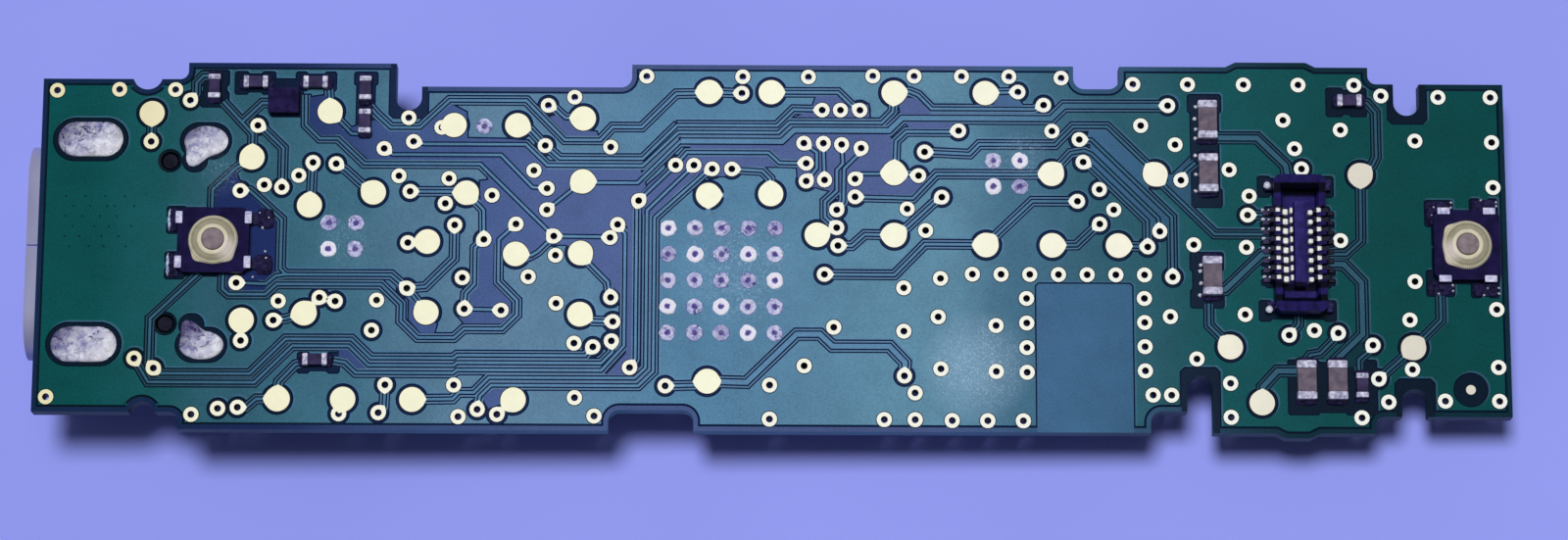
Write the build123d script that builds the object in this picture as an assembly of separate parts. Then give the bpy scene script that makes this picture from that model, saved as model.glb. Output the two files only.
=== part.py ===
"""Main circuit board of a pocket hardware wallet, bare out of its case. Millimetres.

The board lies flat with its test side up. +X runs along the board, away from the USB socket, +Y
across it, +Z up. Places are measured from the middle of the board, along it in columns of a
sixtieth of its length. Every node is moved by the same small step on writing, so that the origin
lies under the middle of the whole part. The socket is soldered underneath and carries the left
end. The battery socket carries the right.
"""

import os

from build123d import *

os.makedirs("parts", exist_ok=True)

# ---- Bare board ------------------------------------------------------------------------------
board_length = 60.0
layout_columns = 60
board_thickness = 0.8
end_width = 13.9
middle_width = 15.3
left_shoulder = 5.95  # length of the narrow end beside the USB socket
right_shoulder = 5.55
shoulder_radius = 0.35
post_notch_width = 1.06  # U-shaped notches that slide over the posts in the case
rail_notch_radius = 0.45
panel_stub_height = 0.2  # what is left of the tabs that held the board in its panel

# ---- Lands, the bare metal on the test side ---------------------------------------------------
land_height = 0.035  # plated copper, standing proud of the solder mask
test_pad_radius = 0.53
via_radius = 0.33
thermal_via_radius = 0.34
thermal_via_height = 0.06  # these are filled with solder, which domes a little
thermal_pitch = 1.09
fiducial_radius = 0.21
end_via_inset = 0.55  # from each end of the board to the vias that stitch its planes together

# ---- USB socket, a steel shell soldered under the board --------------------------------------
shell_width = 8.94
shell_height = 3.2
shell_length = 8.0
shell_wall = 0.3
shell_overhang = 0.6  # how far its mouth stands out past the board's end
shell_seam = 0.08
shell_centre_y = 0.1
leg_front_setback = 2.63  # from the mouth of the shell to the middle of the front pair of legs
leg_rear_setback = 0.65  # from the rear of the shell to the middle of the rear pair
leg_front_length = 2.0
leg_rear_length = 1.1
leg_clearance = 0.15
leg_solder_height = 0.14
leg_land_margin = 0.66  # how much longer each oval land is than its leg
leg_land_width = 1.4
peg_radius = 0.3
peg_length = 0.7
peg_pitch = 6.8
peg_setback = 2.1  # from the rear of the shell
peg_clearance = 0.08
window_depth = 0.45  # the shell's top is cut away over the pegs, down to this
window_margin = 0.25
tongue_thickness = 0.7
tongue_width = 6.7
tongue_setback = 0.6  # from the mouth of the shell to the tip of the tongue
insulator_front = 0.55  # from the window in the shell to the front of the block
insulator_clearance = 0.03
usb_contact_pitch = 0.5
usb_contact_width = 0.25
usb_strip_gauge = 0.05
usb_strip_setback = 0.6  # from the tip of the tongue to the strips
usb_tail_length, usb_tail_gauge = 0.6, 0.15
usb_wide_tail = 0.6  # width of the doubled supply and ground tails

# ---- Display socket, sixteen contacts on the test side ---------------------------------------
display_column, display_y = 21.45, 0.08
display_pitch = 0.4
display_rows = 8
display_length = 5.7
display_width = 2.1
display_height = 0.9
display_wall = 0.36
display_end_wall = 0.55
display_floor = 0.2
display_tongue_width = 0.42
display_tongue_drop = 0.25  # how far the tongue's top lies under the walls' top
display_lead_in = 0.16  # slope round the mouth that guides the plug in
display_slot_floor = 0.42
display_slot_clearance = 0.02
display_contact_width = 0.2
display_contact_gauge = 0.12
display_tail = 0.38  # how far each solder tail stands out of the housing
display_anchor = (0.3, 0.45, 0.3)

# ---- The two push switches -------------------------------------------------------------------
left_switch_column, right_switch_column, switch_y = -22.8, 28.3, 0.12
switch_length = 2.9
switch_width = 2.7
switch_body_height = 0.36
switch_corner = 0.22
well_radius = 0.95
lead_width = 0.5
lead_gauge = 0.1
lead_foot = 0.35
lead_lap = 0.18  # how far each lead reaches in over the base
lead_spacing = 1.86
cover_radius = 1.04
cover_rise = 0.17
cover_gauge = 0.05
cover_rim = 0.06
crown_radius = 0.67
plunger_radius = 0.44
plunger_clearance = 0.03
plunger_flange = 0.22  # how far the collar under the cover stands out
plunger_collar = 0.12
plunger_proud = 0.05
plunger_travel = 0.12
dome_radius = 0.86
dome_gauge = 0.08
dome_slope = 55  # degrees from upright
pressed_dome = 0.13  # height that the dome keeps when it is pressed flat
rest_gap = 0.01  # between pieces that only just touch in the real switch

# ---- Chip parts and packages -----------------------------------------------------------------
large_chip = (1.6, 0.8, 0.45)  # length, width, height of the larger chip capacitors
small_chip = (1.0, 0.5, 0.35)
small_chip_end, large_chip_end = 0.22, 0.32  # length of each metal end
chip_end_lap = 0.02  # thickness of the metal over the ceramic
under_chip_gap = 0.5  # from a package to the chip capacitors beside it
sensor_size = (1.25, 1.05, 0.4)
processor_size, processor_height = 7.0, 0.85
secure_chip_size, secure_chip_height = 5.0, 0.75
charger_size, charger_height = 3.0, 0.75
crystal_size, crystal_tray, crystal_lid = (3.2, 2.5), 0.5, 0.2
crystal_lid_inset = 0.15
inductor_size, inductor_corner = (2.5, 2.0, 1.2), 0.25
aerial_size = (1.6, 3.2, 1.1)
battery_socket_length = 6.0
battery_socket_depth = 4.2
battery_socket_height = 2.0
battery_socket_wall = 0.45
battery_latch_width = 1.2
battery_contact_pitch = 1.25
battery_pin = 0.35
battery_tail_length, battery_tail_gauge = 0.7, 0.2

# ---- Levels and edges worked out from them ---------------------------------------------------
column = board_length / layout_columns
board_bottom = shell_height
board_top = board_bottom + board_thickness
board_left, board_right = -board_length / 2, board_length / 2
end_edge, middle_edge = end_width / 2, middle_width / 2
left_step, right_step = board_left + left_shoulder, board_right - right_shoulder
notch_radius = post_notch_width / 2
shell_mouth = board_left - shell_overhang
shell_rear = shell_mouth + shell_length
leg_middle_y = (shell_width - shell_wall) / 2
window_length = peg_setback + peg_radius + window_margin
insulator_length = window_length + insulator_front
display_x = display_column * column
to_origin = Pos(shell_overhang / 2, 0, 0)


def write(name, *solids):
    """Writes one node, a single solid or a group of like solids."""
    placed = [to_origin * solid for solid in solids]
    export_step(placed[0] if len(placed) == 1 else Compound(children=placed), f"parts/{name}.step")


def block(length, width, height, x=0.0, y=0.0, z=0.0):
    """A box standing on z, centred on x and y."""
    return Pos(x, y, z) * Box(length, width, height, align=(Align.CENTER, Align.CENTER, Align.MIN))


def post(radius, height):
    """A round post standing on z = 0."""
    return Cylinder(radius, height, align=(Align.CENTER, Align.CENTER, Align.MIN))


def turned(points):
    """A turned piece, from the half section that its points outline in the XZ plane."""
    return revolve(make_face(Plane.XZ * Polyline(*points, close=True)), Axis.Z)


# ---- Board outline -----------------------------------------------------------------------------


def edge_cut(left, right, inner, side, radius):
    """A cut that runs out over a long edge, with its two inner corners rounded."""
    outer = middle_edge + 2 * radius
    face = Pos((left + right) / 2, side * (inner + outer) / 2) * Rectangle(right - left, outer - inner)
    corners = face.vertices().group_by(Axis.Y)[0 if side > 0 else -1]
    return fillet(corners, radius)


def post_notch(x, inner, side):
    """A U-shaped notch with a half-round bottom."""
    outer = middle_edge + notch_radius
    centre = inner + notch_radius
    straight = Pos(x, side * (centre + outer) / 2) * Rectangle(2 * notch_radius, outer - centre)
    return Pos(x, side * centre) * Circle(notch_radius) + straight


def panel_stub(left, right, side):
    """The low trapezium left where a panel tab was cut through."""
    ramp = 2 * panel_stub_height
    foot, crest = side * middle_edge, side * (middle_edge + panel_stub_height)
    outline = [(left, foot), (left + ramp, crest), (right - ramp, crest), (right, foot)]
    return make_face(Polyline(*outline, close=True))


# Middle of the notch, how far its bottom lies from the centre line, side of the board.
post_notches = [
    (-14.98 * column, 5.68, 1),
    (26.02 * column, 5.62, 1),
    (17.34 * column, 5.3, -1),
    (26.05 * column, 5.8, -1),
]

# The round nick at each left shoulder: its middle, radius, how far outside the edge that lies, side.
shoulder_nicks = [
    (board_left + 4.28, 0.62, 0.18, 1),
    (board_left + 4.47, 0.55, 0.12, -1),
]


def board_outline():
    """The board seen from above, with its shoulders, notches and panel stubs, before drilling."""
    outline = Rectangle(board_length, middle_width)
    outline += panel_stub(18.6 * column, 22.3 * column, 1)
    outline += panel_stub(20.4 * column, 22.2 * column, -1)
    past_left, past_right = board_left - 1, board_right + 1
    for side in (1, -1):
        outline -= edge_cut(past_left, left_step, end_edge, side, shoulder_radius)
        outline -= edge_cut(right_step, past_right, end_edge, side, shoulder_radius)
    case_rails = [
        (post_notches[0][0] - notch_radius, -5.82 * column, 6.68, 1),
        (12.33 * column, 14.22 * column, 6.69, 1),
        (-6.65 * column, -3.2 * column, 6.8, -1),
        (15.33 * column, post_notches[2][0], 6.77, -1),
    ]
    for rail in case_rails:
        outline -= edge_cut(*rail, rail_notch_radius)
    for notch in post_notches:
        outline -= post_notch(*notch)
    for x, radius, outside, side in shoulder_nicks:
        outline -= Pos(x, side * (end_edge + outside)) * Circle(radius)
    return outline


def leg_places():
    """Middle of each shell leg and its length: front pair, then rear pair."""
    front, rear = shell_mouth + leg_front_setback, shell_rear - leg_rear_setback
    for x, length in ((front, leg_front_length), (rear, leg_rear_length)):
        for side in (1, -1):
            yield x, shell_centre_y + side * leg_middle_y, length


peg_places = [(shell_rear - peg_setback, shell_centre_y + side * peg_pitch / 2) for side in (1, -1)]


def board():
    """The bare laminate, drilled for the shell's legs and the insulator's pegs."""
    outline = board_outline()
    for x, y, length in leg_places():
        slot = Rectangle(length + 2 * leg_clearance, shell_wall + 2 * leg_clearance)
        outline -= Pos(x, y) * chamfer(slot.vertices(), leg_clearance)
    for x, y in peg_places:
        outline -= Pos(x, y) * Circle(peg_radius + peg_clearance)
    return Pos(0, 0, board_bottom) * extrude(outline, board_thickness)


# ---- Lands on the test side --------------------------------------------------------------------

# Test pads, by stretch of the board from the USB end to the far end: column and y of each.
test_pads = [
    (-25.5, 5.5), (-21.35, 3.65), (-18.95, 1.65), (-18.2, 5.6), (-21.6, -3.15), (-19.05, -2.85),
    (-20.05, -6.4), (-16.35, 2.2), (-12.55, 2.2), (-14.1, 0.15), (-14.1, -2.8), (-13.1, 5.05),
    (-10.5, 5.05), (-7.8, 5.35), (-7.8, 2.7), (-10.5, -0.35), (-7.85, -0.3), (-7.85, -2.85),
    (-17.4, -6.4), (-14.6, -6.4), (-10.5, -6.4), (-2.65, 6.5), (-0.1, 6.5), (4.95, 6.5),
    (8.7, 6.5), (-2.65, 2.15), (-0.1, 2.2), (4.95, 3.1), (1.8, 0.5), (4.95, 0.5),
    (-2.65, -5.6), (11.4, 3.1), (15.65, 3.1), (8.7, 0.1), (11.4, 0.1), (14.1, 0.1),
    (18.6, -4.1), (24.05, 3.1), (26.05, -4.1), (19.85, -6.4),
]  # fmt: skip


def along(start, step, count):
    """Evenly spaced places on one line."""
    return [(start[0] + i * step[0], start[1] + i * step[1]) for i in range(count)]


# Vias that stitch the ground planes together: rows first, then the single ones.
ground_vias = (
    along((8.1, -1.12), (1.17, 0), 7)  # over the top of the aerial's clear field
    + along((10.3, -2.12), (0, -1.02), 4)  # down its near side
    + along((15.1, -2.1), (0, -1.0), 4)  # down its far side
    + along((7.25, -7.18), (1.44, 0), 3)
)
ground_vias += [
    (-26.9, 6.5), (-24.6, 6.5), (-19.45, 2.9), (-20.85, 2.5), (-20.15, -2.35), (-23.55, -7.05),
    (-15.0, 5.35), (-15.35, 2.9), (-13.3, 2.8), (-16.15, -2.3), (-10.0, -1.3), (-8.9, -0.4),
    (-8.2, 6.25), (-6.7, 4.15), (-8.85, -2.4), (-8.1, -4.05), (-12.95, -5.8), (-12.75, -7.1),
    (-8.05, -6.3), (-7.25, -7.05), (-5.25, 7.15), (-1.3, 7.15), (1.4, 7.15), (4.05, 7.2),
    (5.75, 7.2), (2.45, -3.35), (1.25, -4.95), (-0.15, -5.75), (-0.15, -7.15), (5.45, 1.6),
    (5.3, -1.7), (5.3, -3.5), (5.75, -6.05), (4.5, -7.15), (5.75, -7.15), (6.2, 0.7),
    (7.7, 7.2), (9.65, 7.2), (11.8, 7.15), (11.4, 4.9), (6.8, -1.3), (6.7, -2.9),
    (9.05, -3.25), (6.8, -5.05), (9.05, -5.15), (13.9, 1.6), (17.15, 0.15), (16.15, -2.85),
    (15.05, 5.15), (16.45, 4.35), (14.75, 6.9), (17.0, 6.9), (18.65, 3.3), (17.2, -4.6),
    (15.4, -6.1), (16.15, -6.1), (18.55, -5.6), (18.55, -7.0), (19.3, 6.9), (21.55, 6.9),
    (23.85, 6.9), (24.95, 6.45), (27.3, 6.4), (20.9, 5.4), (23.25, 5.0), (21.35, 4.2),
    (19.45, 2.2), (19.3, 0.05), (23.15, 0.35), (26.3, 4.55), (26.15, -1.35), (25.9, -2.95),
    (19.2, -2.75), (22.0, -3.4), (25.95, -5.0), (24.95, -6.35), (27.25, -6.3), (23.85, -7.0),
]  # fmt: skip
end_vias = [(board_right - end_via_inset, y) for y in (6.4, 4.5, 2.6, -2.5, -4.9, -6.3)]
end_vias += [(board_left + end_via_inset, y) for y in (6.45, -6.35)]

# Packages on the underside. Vias filled with solder carry their heat up through the board.
processor_place = (-2.13 * column, -1.42)
secure_chip_place = (-17.62 * column, 0.37)
charger_place = (9.53 * column, 3.1)
lone_thermal_via = (-11.9 * column, 5.0)


def thermal_vias():
    """The grid over the processor, a square of four over each smaller chip, and one by itself."""
    places = [lone_thermal_via]
    for centre, count in ((processor_place, 5), (secure_chip_place, 2), (charger_place, 2)):
        for spot in GridLocations(thermal_pitch, thermal_pitch, count, count):
            places.append((centre[0] + spot.position.X, centre[1] + spot.position.Y))
    return places


def spread(places):
    """Places in columns, put along the real board."""
    return [(x * column, *rest) for x, *rest in places]


def lands(places, radius, sides, height):
    """Flat plated lands, all alike. The small ones, which are many, get few sides."""
    land = extrude(RegularPolygon(radius, sides), height)
    return [Pos(x, y, board_top) * land for x, y in places]


fiducial_place = (28.33, -5.83)  # the target that steers the assembly machine


# ---- USB socket --------------------------------------------------------------------------------


def usb_shell():
    """Rolled steel tube with an oval section, butted along the top, with four legs turned up."""
    outer = SlotOverall(shell_width, shell_height)
    inner = SlotOverall(shell_width - 2 * shell_wall, shell_height - 2 * shell_wall)
    tube = extrude(Plane.YZ * (outer - inner), shell_length)
    tube = Pos(shell_mouth, shell_centre_y, shell_height / 2) * tube
    seam_top = block(shell_length, shell_seam, 2 * shell_wall, z=shell_height - 1.5 * shell_wall)
    tube -= Pos(shell_mouth + shell_length / 2, shell_centre_y, 0) * seam_top
    tube -= rear_window(0)
    for x, y, length in leg_places():
        tube += block(length, shell_wall, board_top - shell_height / 2, x, y, shell_height / 2)
    return tube


def rear_window(clearance):
    """The opening in the top of the shell where the plastic reaches the board."""
    length = window_length - clearance
    width = 2 * (peg_pitch / 2 + peg_radius + window_margin - clearance)
    floor = shell_height - window_depth + clearance
    window = block(length, width, shell_height - floor)
    return Pos(shell_rear - length / 2, shell_centre_y, floor) * window


def usb_insulator():
    """Moulded block that closes the shell's rear, with the contact tongue and two board pegs."""
    gap = shell_wall + insulator_clearance
    section = SlotOverall(shell_width - 2 * gap, shell_height - 2 * gap)
    moulding = Pos(shell_rear, shell_centre_y, shell_height / 2) * extrude(
        Plane.YZ * section, -insulator_length
    )
    tongue_tip = shell_mouth + tongue_setback
    tongue_length = shell_rear - insulator_length - tongue_tip
    tongue = Box(tongue_length, tongue_width, tongue_thickness)
    tip = tongue.edges().filter_by(Axis.Z).group_by(Axis.X)[0]
    tongue = fillet(tip, 0.4)
    moulding += Pos(tongue_tip + tongue_length / 2, shell_centre_y, shell_height / 2) * tongue
    moulding += rear_window(insulator_clearance)
    for x, y in peg_places:
        moulding += Pos(x, y, board_bottom) * post(peg_radius, peg_length)
    return moulding


def usb_contacts():
    """Gold strips on both faces of the tongue, and the row of tails soldered under the board."""
    strip_start = shell_mouth + tongue_setback + usb_strip_setback
    strip_length = shell_rear - insulator_length - strip_start
    strip_x = strip_start + strip_length / 2
    strip = block(strip_length, usb_contact_width, usb_strip_gauge)
    tail_x = shell_rear + usb_tail_length / 2
    tail_z = board_bottom - usb_tail_gauge
    tongue_top = (shell_height + tongue_thickness) / 2
    tongue_bottom = (shell_height - tongue_thickness) / 2 - usb_strip_gauge
    contacts = []
    for step in (0.5, 1.5, 2.5, 5.5):
        for side in (1, -1):
            y = shell_centre_y + side * step * usb_contact_pitch
            contacts += [Pos(strip_x, y, z) * strip for z in (tongue_top, tongue_bottom)]
    for step, width in (
        (0.5, usb_contact_width),
        (1.5, usb_contact_width),
        (2.5, usb_contact_width),
        (3.5, usb_contact_width),
        (4.9, usb_wide_tail),
        (6.5, usb_wide_tail),
    ):
        for side in (1, -1):
            y = shell_centre_y + side * step * usb_contact_pitch
            contacts.append(block(usb_tail_length, width, usb_tail_gauge, tail_x, y, tail_z))
    return contacts


def leg_solder():
    """Solder caps over the four leg slots, running out to the edge of their lands."""
    caps = []
    for x, y, length in leg_places():
        land = Rectangle(length + leg_land_margin, leg_land_width)
        land = chamfer(land.vertices(), leg_land_width / 3)
        caps.append(Pos(x, y, board_top) * extrude(land, leg_solder_height, taper=45))
    return caps


# ---- Display socket ----------------------------------------------------------------------------


def contact_rows():
    """y of each row of display contacts, from the socket's middle."""
    return [(i - (display_rows - 1) / 2) * display_pitch for i in range(display_rows)]


def display_housing():
    """Moulded tub round a central tongue, its long walls slotted for the contacts."""
    body = block(display_width, display_length, display_height)
    body = chamfer(body.edges().filter_by(Axis.Z), display_wall / 2)
    trough_width = display_width - 2 * display_wall
    trough_length = display_length - 2 * display_end_wall
    mouth = Rectangle(trough_width + display_lead_in, trough_length + 2 * display_lead_in)
    throat = Pos(0, 0, -display_lead_in) * Rectangle(trough_width, trough_length)
    body -= Pos(0, 0, display_height) * loft([mouth, throat])
    body -= block(trough_width, trough_length, display_height, z=display_floor)
    tongue_length = display_pitch * (display_rows + 1)
    body += block(display_tongue_width, tongue_length, display_height - display_tongue_drop)
    slot_length = display_wall + display_contact_gauge
    slot = block(slot_length, display_contact_width + 2 * display_slot_clearance, display_height)
    slot_x = (display_width - display_wall) / 2
    for y in contact_rows():
        for side in (1, -1):
            body -= Pos(side * slot_x, y, display_slot_floor) * slot
    return Pos(display_x, display_y, board_top) * body


def display_contacts():
    """Formed strips: a tail on the board, a hook over the long wall and a spring beside the tongue."""
    outside = display_width / 2 + display_slot_clearance
    inside = display_width / 2 - display_wall - display_slot_clearance
    gauge = display_contact_gauge
    foot = display_floor + display_slot_clearance
    hook_bottom = display_slot_floor + display_slot_clearance
    hook_top = hook_bottom + 2 * gauge
    profile = [
        (outside + display_tail, 0.0),
        (outside, 0.0),
        (outside, hook_bottom),
        (inside, hook_bottom),
        (inside, foot),
        (inside - gauge, foot),
        (inside - gauge, hook_top),
        (outside + gauge, hook_top),
        (outside + gauge, gauge),
        (outside + display_tail, gauge),
    ]
    face = make_face(Plane.XZ * Polyline(*profile, close=True))
    strip = extrude(face, display_contact_width / 2, both=True)
    return [
        Pos(display_x, display_y + y, board_top) * Rot(Z=turn) * strip
        for y in contact_rows()
        for turn in (0, 180)
    ]


def display_anchors():
    """Four hold-down tabs at the corners of the display socket."""
    length, width, height = display_anchor
    reach_x = (display_width + length) / 2
    reach_y = (display_length - width) / 2 - display_wall / 4
    tab = block(length, width, height)
    return [
        Pos(display_x + x_side * reach_x, display_y + y_side * reach_y, board_top) * tab
        for x_side in (1, -1)
        for y_side in (1, -1)
    ]


# ---- Push switches -----------------------------------------------------------------------------

# Heights over the board. The well is as deep as the dome needs to be pressed flat.
base_top = switch_body_height
cover_top = base_top + cover_rise
collar_top = cover_top - cover_gauge - rest_gap
collar_bottom = collar_top - plunger_collar
well_floor = collar_bottom - plunger_travel - pressed_dome


def switch_base():
    """Moulded base with a round well for the snap dome and clipped corners."""
    base = block(switch_length, switch_width, switch_body_height)
    base = chamfer(base.edges().filter_by(Axis.Z), switch_corner)
    return base - Pos(0, 0, well_floor) * post(well_radius, switch_body_height)


def switch_leads():
    """Four tinned leads, each folded over the top of the base and down to a foot on the board."""
    face = switch_length / 2
    lip, lip_top = face - lead_lap, base_top + lead_gauge / 2
    profile = [
        (lip, base_top),
        (face, base_top),
        (face, 0.0),
        (face + lead_foot, 0.0),
        (face + lead_foot, lead_gauge),
        (face + lead_gauge, lead_gauge),
        (face + lead_gauge, lip_top),
        (lip, lip_top),
    ]
    lead = extrude(make_face(Plane.XZ * Polyline(*profile, close=True)), lead_width / 2, both=True)
    return [
        Rot(Z=turn) * Pos(0, side * lead_spacing / 2, 0) * lead
        for turn in (0, 180)
        for side in (1, -1)
    ]


def snap_dome():
    """The sprung steel dome in the well, twelve-sided, which clicks when its crown is pressed."""
    rise = collar_bottom - rest_gap - well_floor
    cap = extrude(RegularPolygon(dome_radius, 12), rise, taper=dome_slope)
    return Pos(0, 0, well_floor) * (cap - Pos(0, 0, -dome_gauge) * cap)


def switch_cover():
    """The clear amber cover: a foot on the base, a sloping skirt and a flat crown with a hole."""
    hole = plunger_radius + plunger_clearance
    outline = [
        (cover_radius, base_top),
        (crown_radius, cover_top),
        (hole, cover_top),
        (hole, cover_top - cover_gauge),
        (crown_radius, cover_top - cover_gauge),
        (cover_radius - cover_rim, base_top),
    ]
    return turned(outline)


def switch_plunger():
    """The button itself: a disc through the cover's hole, on a collar that the cover holds in."""
    top = cover_top + plunger_proud
    outline = [
        (0, collar_bottom),
        (plunger_radius + plunger_flange, collar_bottom),
        (plunger_radius + plunger_flange, collar_top),
        (plunger_radius, collar_top),
        (plunger_radius, top),
        (0, top),
    ]
    return turned(outline)


switches = {
    "left": Pos(left_switch_column * column, switch_y, board_top),
    "right": Pos(right_switch_column * column, switch_y, board_top) * Rot(Z=90),
}


def write_switches():
    """Both switches are the same part. The right one is turned a quarter."""
    for name, place in switches.items():
        write(f"{name}_switch_base", place * switch_base())
        write(f"{name}_switch_leads", *[place * lead for lead in switch_leads()])
        write(f"{name}_switch_dome", place * snap_dome())
        write(f"{name}_switch_cover", place * switch_cover())
        write(f"{name}_switch_plunger", place * switch_plunger())


# ---- Chip parts --------------------------------------------------------------------------------

# Middle of each part on the test side and its turn from lying along the board.
large_chip_places = spread([
    (17.8, 5.35, 90), (17.8, 3.1, 90), (17.9, -1.2, 90), (21.65, -5.5, 90), (22.9, -5.5, 90),
])  # fmt: skip
small_chip_places = spread([
    (-22.95, 6.6, 90), (-21.25, 6.8, 0), (-18.8, 6.8, 0), (-16.75, 6.55, 90), (-16.75, 5.15, 90),
    (-18.55, -4.8, 0), (23.65, 6.2, 0), (23.9, -5.7, 90),
])  # fmt: skip
sensor_place = (-20.1 * column, 6.0)

# Parts under the board: single ones, then chip capacitors in line beside the packages they serve.
crystal_places = spread([(4.1, -1.4, 90), (-9.4, 2.2, 0)])
inductor_place = (6.2 * column, 3.4)
aerial_place = (12.7 * column, -4.6)
battery_socket_place = (21.5 * column, 0.0)
under_chip_places = []
for place, package, steps in (
    (processor_place, processor_size, (-2.8, -1.0, 2.8)),
    (secure_chip_place, secure_chip_size, (-1.3, 1.3)),
    (charger_place, charger_size, (-0.7, 0.7)),
):
    standoff = (package + small_chip[0]) / 2 + under_chip_gap
    for step in steps:
        under_chip_places.append((place[0] + step, place[1] - standoff, 90))


def chip_pieces(places, size, end, top_side):
    """The ceramic bodies and the metal ends of chip parts that stand on one side of the board."""
    length, width, height = size
    middle = block(length - 2 * end, width - 2 * chip_end_lap, height - 2 * chip_end_lap, z=chip_end_lap)
    cap = block(end, width, height)
    bodies, ends = [], []
    for x, y, turn in places:
        place = Pos(x, y, board_top) if top_side else Pos(x, y, board_bottom) * Rot(X=180)
        place *= Rot(Z=turn)
        bodies.append(place * middle)
        for side in (1, -1):
            ends.append(place * Pos(side * (length - end) / 2, 0, 0) * cap)
    return bodies, ends


# ---- Packages under the board ------------------------------------------------------------------


def hung(shape, x, y, turn=0.0):
    """Hangs a part under the board, from its own footing at z = 0."""
    return Pos(x, y, board_bottom) * Rot(X=180) * Rot(Z=turn) * shape


def flat_package(size, height):
    """A square moulded package with its leads underneath and a clipped corner at lead one."""
    package = block(size, size, height)
    corner = package.edges().filter_by(Axis.Z).group_by(Axis.X)[0].sort_by(Axis.Y)[-1]
    return chamfer(corner, 0.06 * size)


def crystal():
    """A ceramic tray with a seam-welded metal lid standing in from its edge."""
    length, width = crystal_size
    tray = block(length, width, crystal_tray)
    lid = block(length - 2 * crystal_lid_inset, width - 2 * crystal_lid_inset, crystal_lid)
    return tray + Pos(0, 0, crystal_tray) * lid


def inductor():
    """A pressed ferrite block with its upright edges broken."""
    return chamfer(block(*inductor_size).edges().filter_by(Axis.Z), inductor_corner)


def battery_socket():
    """Side-entry wire socket: a box open towards the board's end, with a slot for the latch."""
    length, depth, height = battery_socket_length, battery_socket_depth, battery_socket_height
    wall = battery_socket_wall
    body = block(depth, length, height)
    body -= block(depth, length - 2 * wall, height - 2 * wall, wall, 0, wall)
    return body - block(depth, battery_latch_width, wall, depth / 2, 0, height - wall)


def battery_contacts():
    """Pins inside the battery socket, with tails on the board behind it."""
    back = -battery_socket_depth / 2
    pin_length = battery_socket_depth / 2
    pin = block(pin_length, battery_pin, battery_pin)
    tail = block(battery_tail_length, battery_pin, battery_tail_gauge)
    pin_x = back + battery_socket_wall + pin_length / 2
    pin_z = (battery_socket_height - battery_pin) / 2
    pieces = []
    for step in (-1, 0, 1):
        y = step * battery_contact_pitch
        pieces += [Pos(pin_x, y, pin_z) * pin, Pos(back - battery_tail_length / 2, y, 0) * tail]
    return pieces


def write_all():
    """One file for each node."""
    write("board", board())
    write("test_pads", *lands(spread(test_pads), test_pad_radius, 8, land_height))
    write("ground_vias", *lands(spread(ground_vias) + end_vias, via_radius, 5, land_height))
    write("thermal_vias", *lands(thermal_vias(), thermal_via_radius, 5, thermal_via_height))
    write("fiducial", *lands(spread([fiducial_place]), fiducial_radius, 8, land_height))
    write("usb_shell", usb_shell())
    write("usb_insulator", usb_insulator())
    write("usb_contacts", *usb_contacts())
    write("leg_solder", *leg_solder())
    write("display_housing", display_housing())
    write("display_contacts", *display_contacts())
    write("display_anchors", *display_anchors())
    write_switches()
    bodies, ends = chip_pieces(large_chip_places, large_chip, large_chip_end, True)
    write("large_capacitors", *bodies)
    write("large_capacitor_ends", *ends)
    bodies, ends = chip_pieces(small_chip_places, small_chip, small_chip_end, True)
    write("small_chips", *bodies)
    write("small_chip_ends", *ends)
    write("sensor", block(*sensor_size, *sensor_place, board_top))
    bodies, ends = chip_pieces(under_chip_places, small_chip, small_chip_end, False)
    write("under_chips", *bodies)
    write("under_chip_ends", *ends)
    write("processor", hung(flat_package(processor_size, processor_height), *processor_place))
    write("secure_chip", hung(flat_package(secure_chip_size, secure_chip_height), *secure_chip_place))
    write("charger_chip", hung(flat_package(charger_size, charger_height), *charger_place))
    write("chip_aerial", hung(block(*aerial_size), *aerial_place))
    write("crystals", *[hung(crystal(), *place) for place in crystal_places])
    write("inductor", hung(inductor(), *inductor_place))
    write("battery_socket", hung(battery_socket(), *battery_socket_place))
    write("battery_contacts", *[hung(pin, *battery_socket_place) for pin in battery_contacts()])


write_all()
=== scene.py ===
"""Looks of a hardware wallet's circuit board: its lacquer, copper, solder, plastics and metals.

Metres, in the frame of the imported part. The board lies with its test side up and its USB socket at
the left. The sections follow the order in which such a board is made and fitted.
"""

import math

import bmesh
import bpy
from mathutils import Matrix, Vector, noise
from mathutils.geometry import delaunay_2d_cdt


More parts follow.
